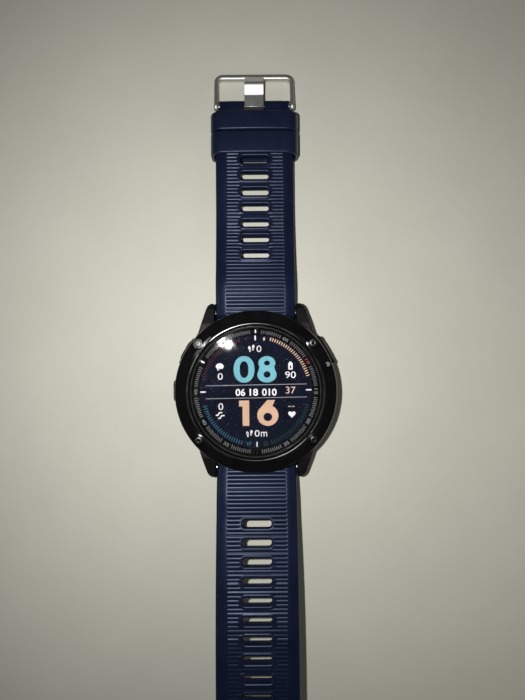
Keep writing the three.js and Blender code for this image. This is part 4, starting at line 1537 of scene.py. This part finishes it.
window = turned("sensor_glass_window", fillet([
    (0, 0.03), (7, 0.03), (9.1, 0.35), (9.8, 0.95), (9.8, 2.6), (11.4, 2.6), (11.4, 3.2), (0, 3.2),
], [0, 3.0, 1.0, 0.3, 0, 0.1, 0.1, 0], 6, closed=False), sensor_glass, 160, closed=False)
on_body(window, "case", "sensor_glass", "sensor_window")


def sensor_details():
    """Lamps and light sensors behind the window, and the contacts of the charging port."""
    pads = []
    for k in range(4):
        angle = math.radians(45 + 90 * k)
        pads.append([(3.6 * math.cos(angle) + x, 3.6 * math.sin(angle) + y)
                     for x, y in rounded_rectangle(1.9, 1.9, 0.3, 3)])
    lamps = [circle(0.75, 24, 2.9 * math.cos(a), 2.9 * math.sin(a)) for a in (0, math.pi)]
    lamps.append(circle(1.0, 28))
    for n, outline in enumerate(pads, 1):
        made = prism(f"light_sensor_{n}", outline, 0.0, 0.12, cell_foil, 0.04)
        on_body(made, "case", "sensor_glass")
    for n, outline in enumerate(lamps, 1):
        made = prism(f"sensor_lamp_{n}", outline, 0.0, 0.12, board_green, 0.04)
        on_body(made, "case", "sensor_glass")
    for n in range(4):
        x = -2.1 + 1.4 * n
        pin = circle(0.38, 24, x, CHARGING_Y)
        made = prism(f"charging_contact_{n + 1}", pin, 1.75, 2.35, contact_gold, 0.1)
        on_body(made, "case", "port_black")


sensor_details()


# ------------------------------------------------------------------ CAD nodes that stay


def dress(material, *nodes):
    """Gives CAD nodes a material."""
    for node in nodes:
        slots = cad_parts[node].data.materials
        slots.clear()
        slots.append(material)


dress(seal_black, "case_gasket", "lens_gasket", *[f"{b}_seal" for b in BUTTONS])
dress(inner_black, "charging_port", "display_carrier")
dress(pin_steel, "lug_bar_top", "lug_bar_bottom", "buckle_bar", "vibration_motor")
dress(latch_steel, "quick_release_latch_top", "quick_release_latch_bottom")
dress(switch_steel, *[f"{b}_switch" for b in BUTTONS])
dress(board_green, "main_board")
dress(cell_foil, "battery")


# ------------------------------------------------------------------ floor


def floor():
    """A plain pale table top."""
    made = Material("table_top", (0.60, 0.59, 0.52), 0.55)
    made.colour_from(made.noise(30.0, 3.0), (0.585, 0.575, 0.505), (0.615, 0.605, 0.535))
    half = 3000.0
    verts = [(-half, -half, -0.05), (half, -half, -0.05), (half, half, -0.05), (-half, half, -0.05)]
    mesh = bpy.data.meshes.new("table")
    mesh.from_pydata([(x * MM, y * MM, z * MM) for x, y, z in verts], [], [(0, 1, 2, 3)])
    table = bpy.data.objects.new("table", mesh)
    mesh.materials.append(made.material)
    scene.collection.objects.link(table)


floor()
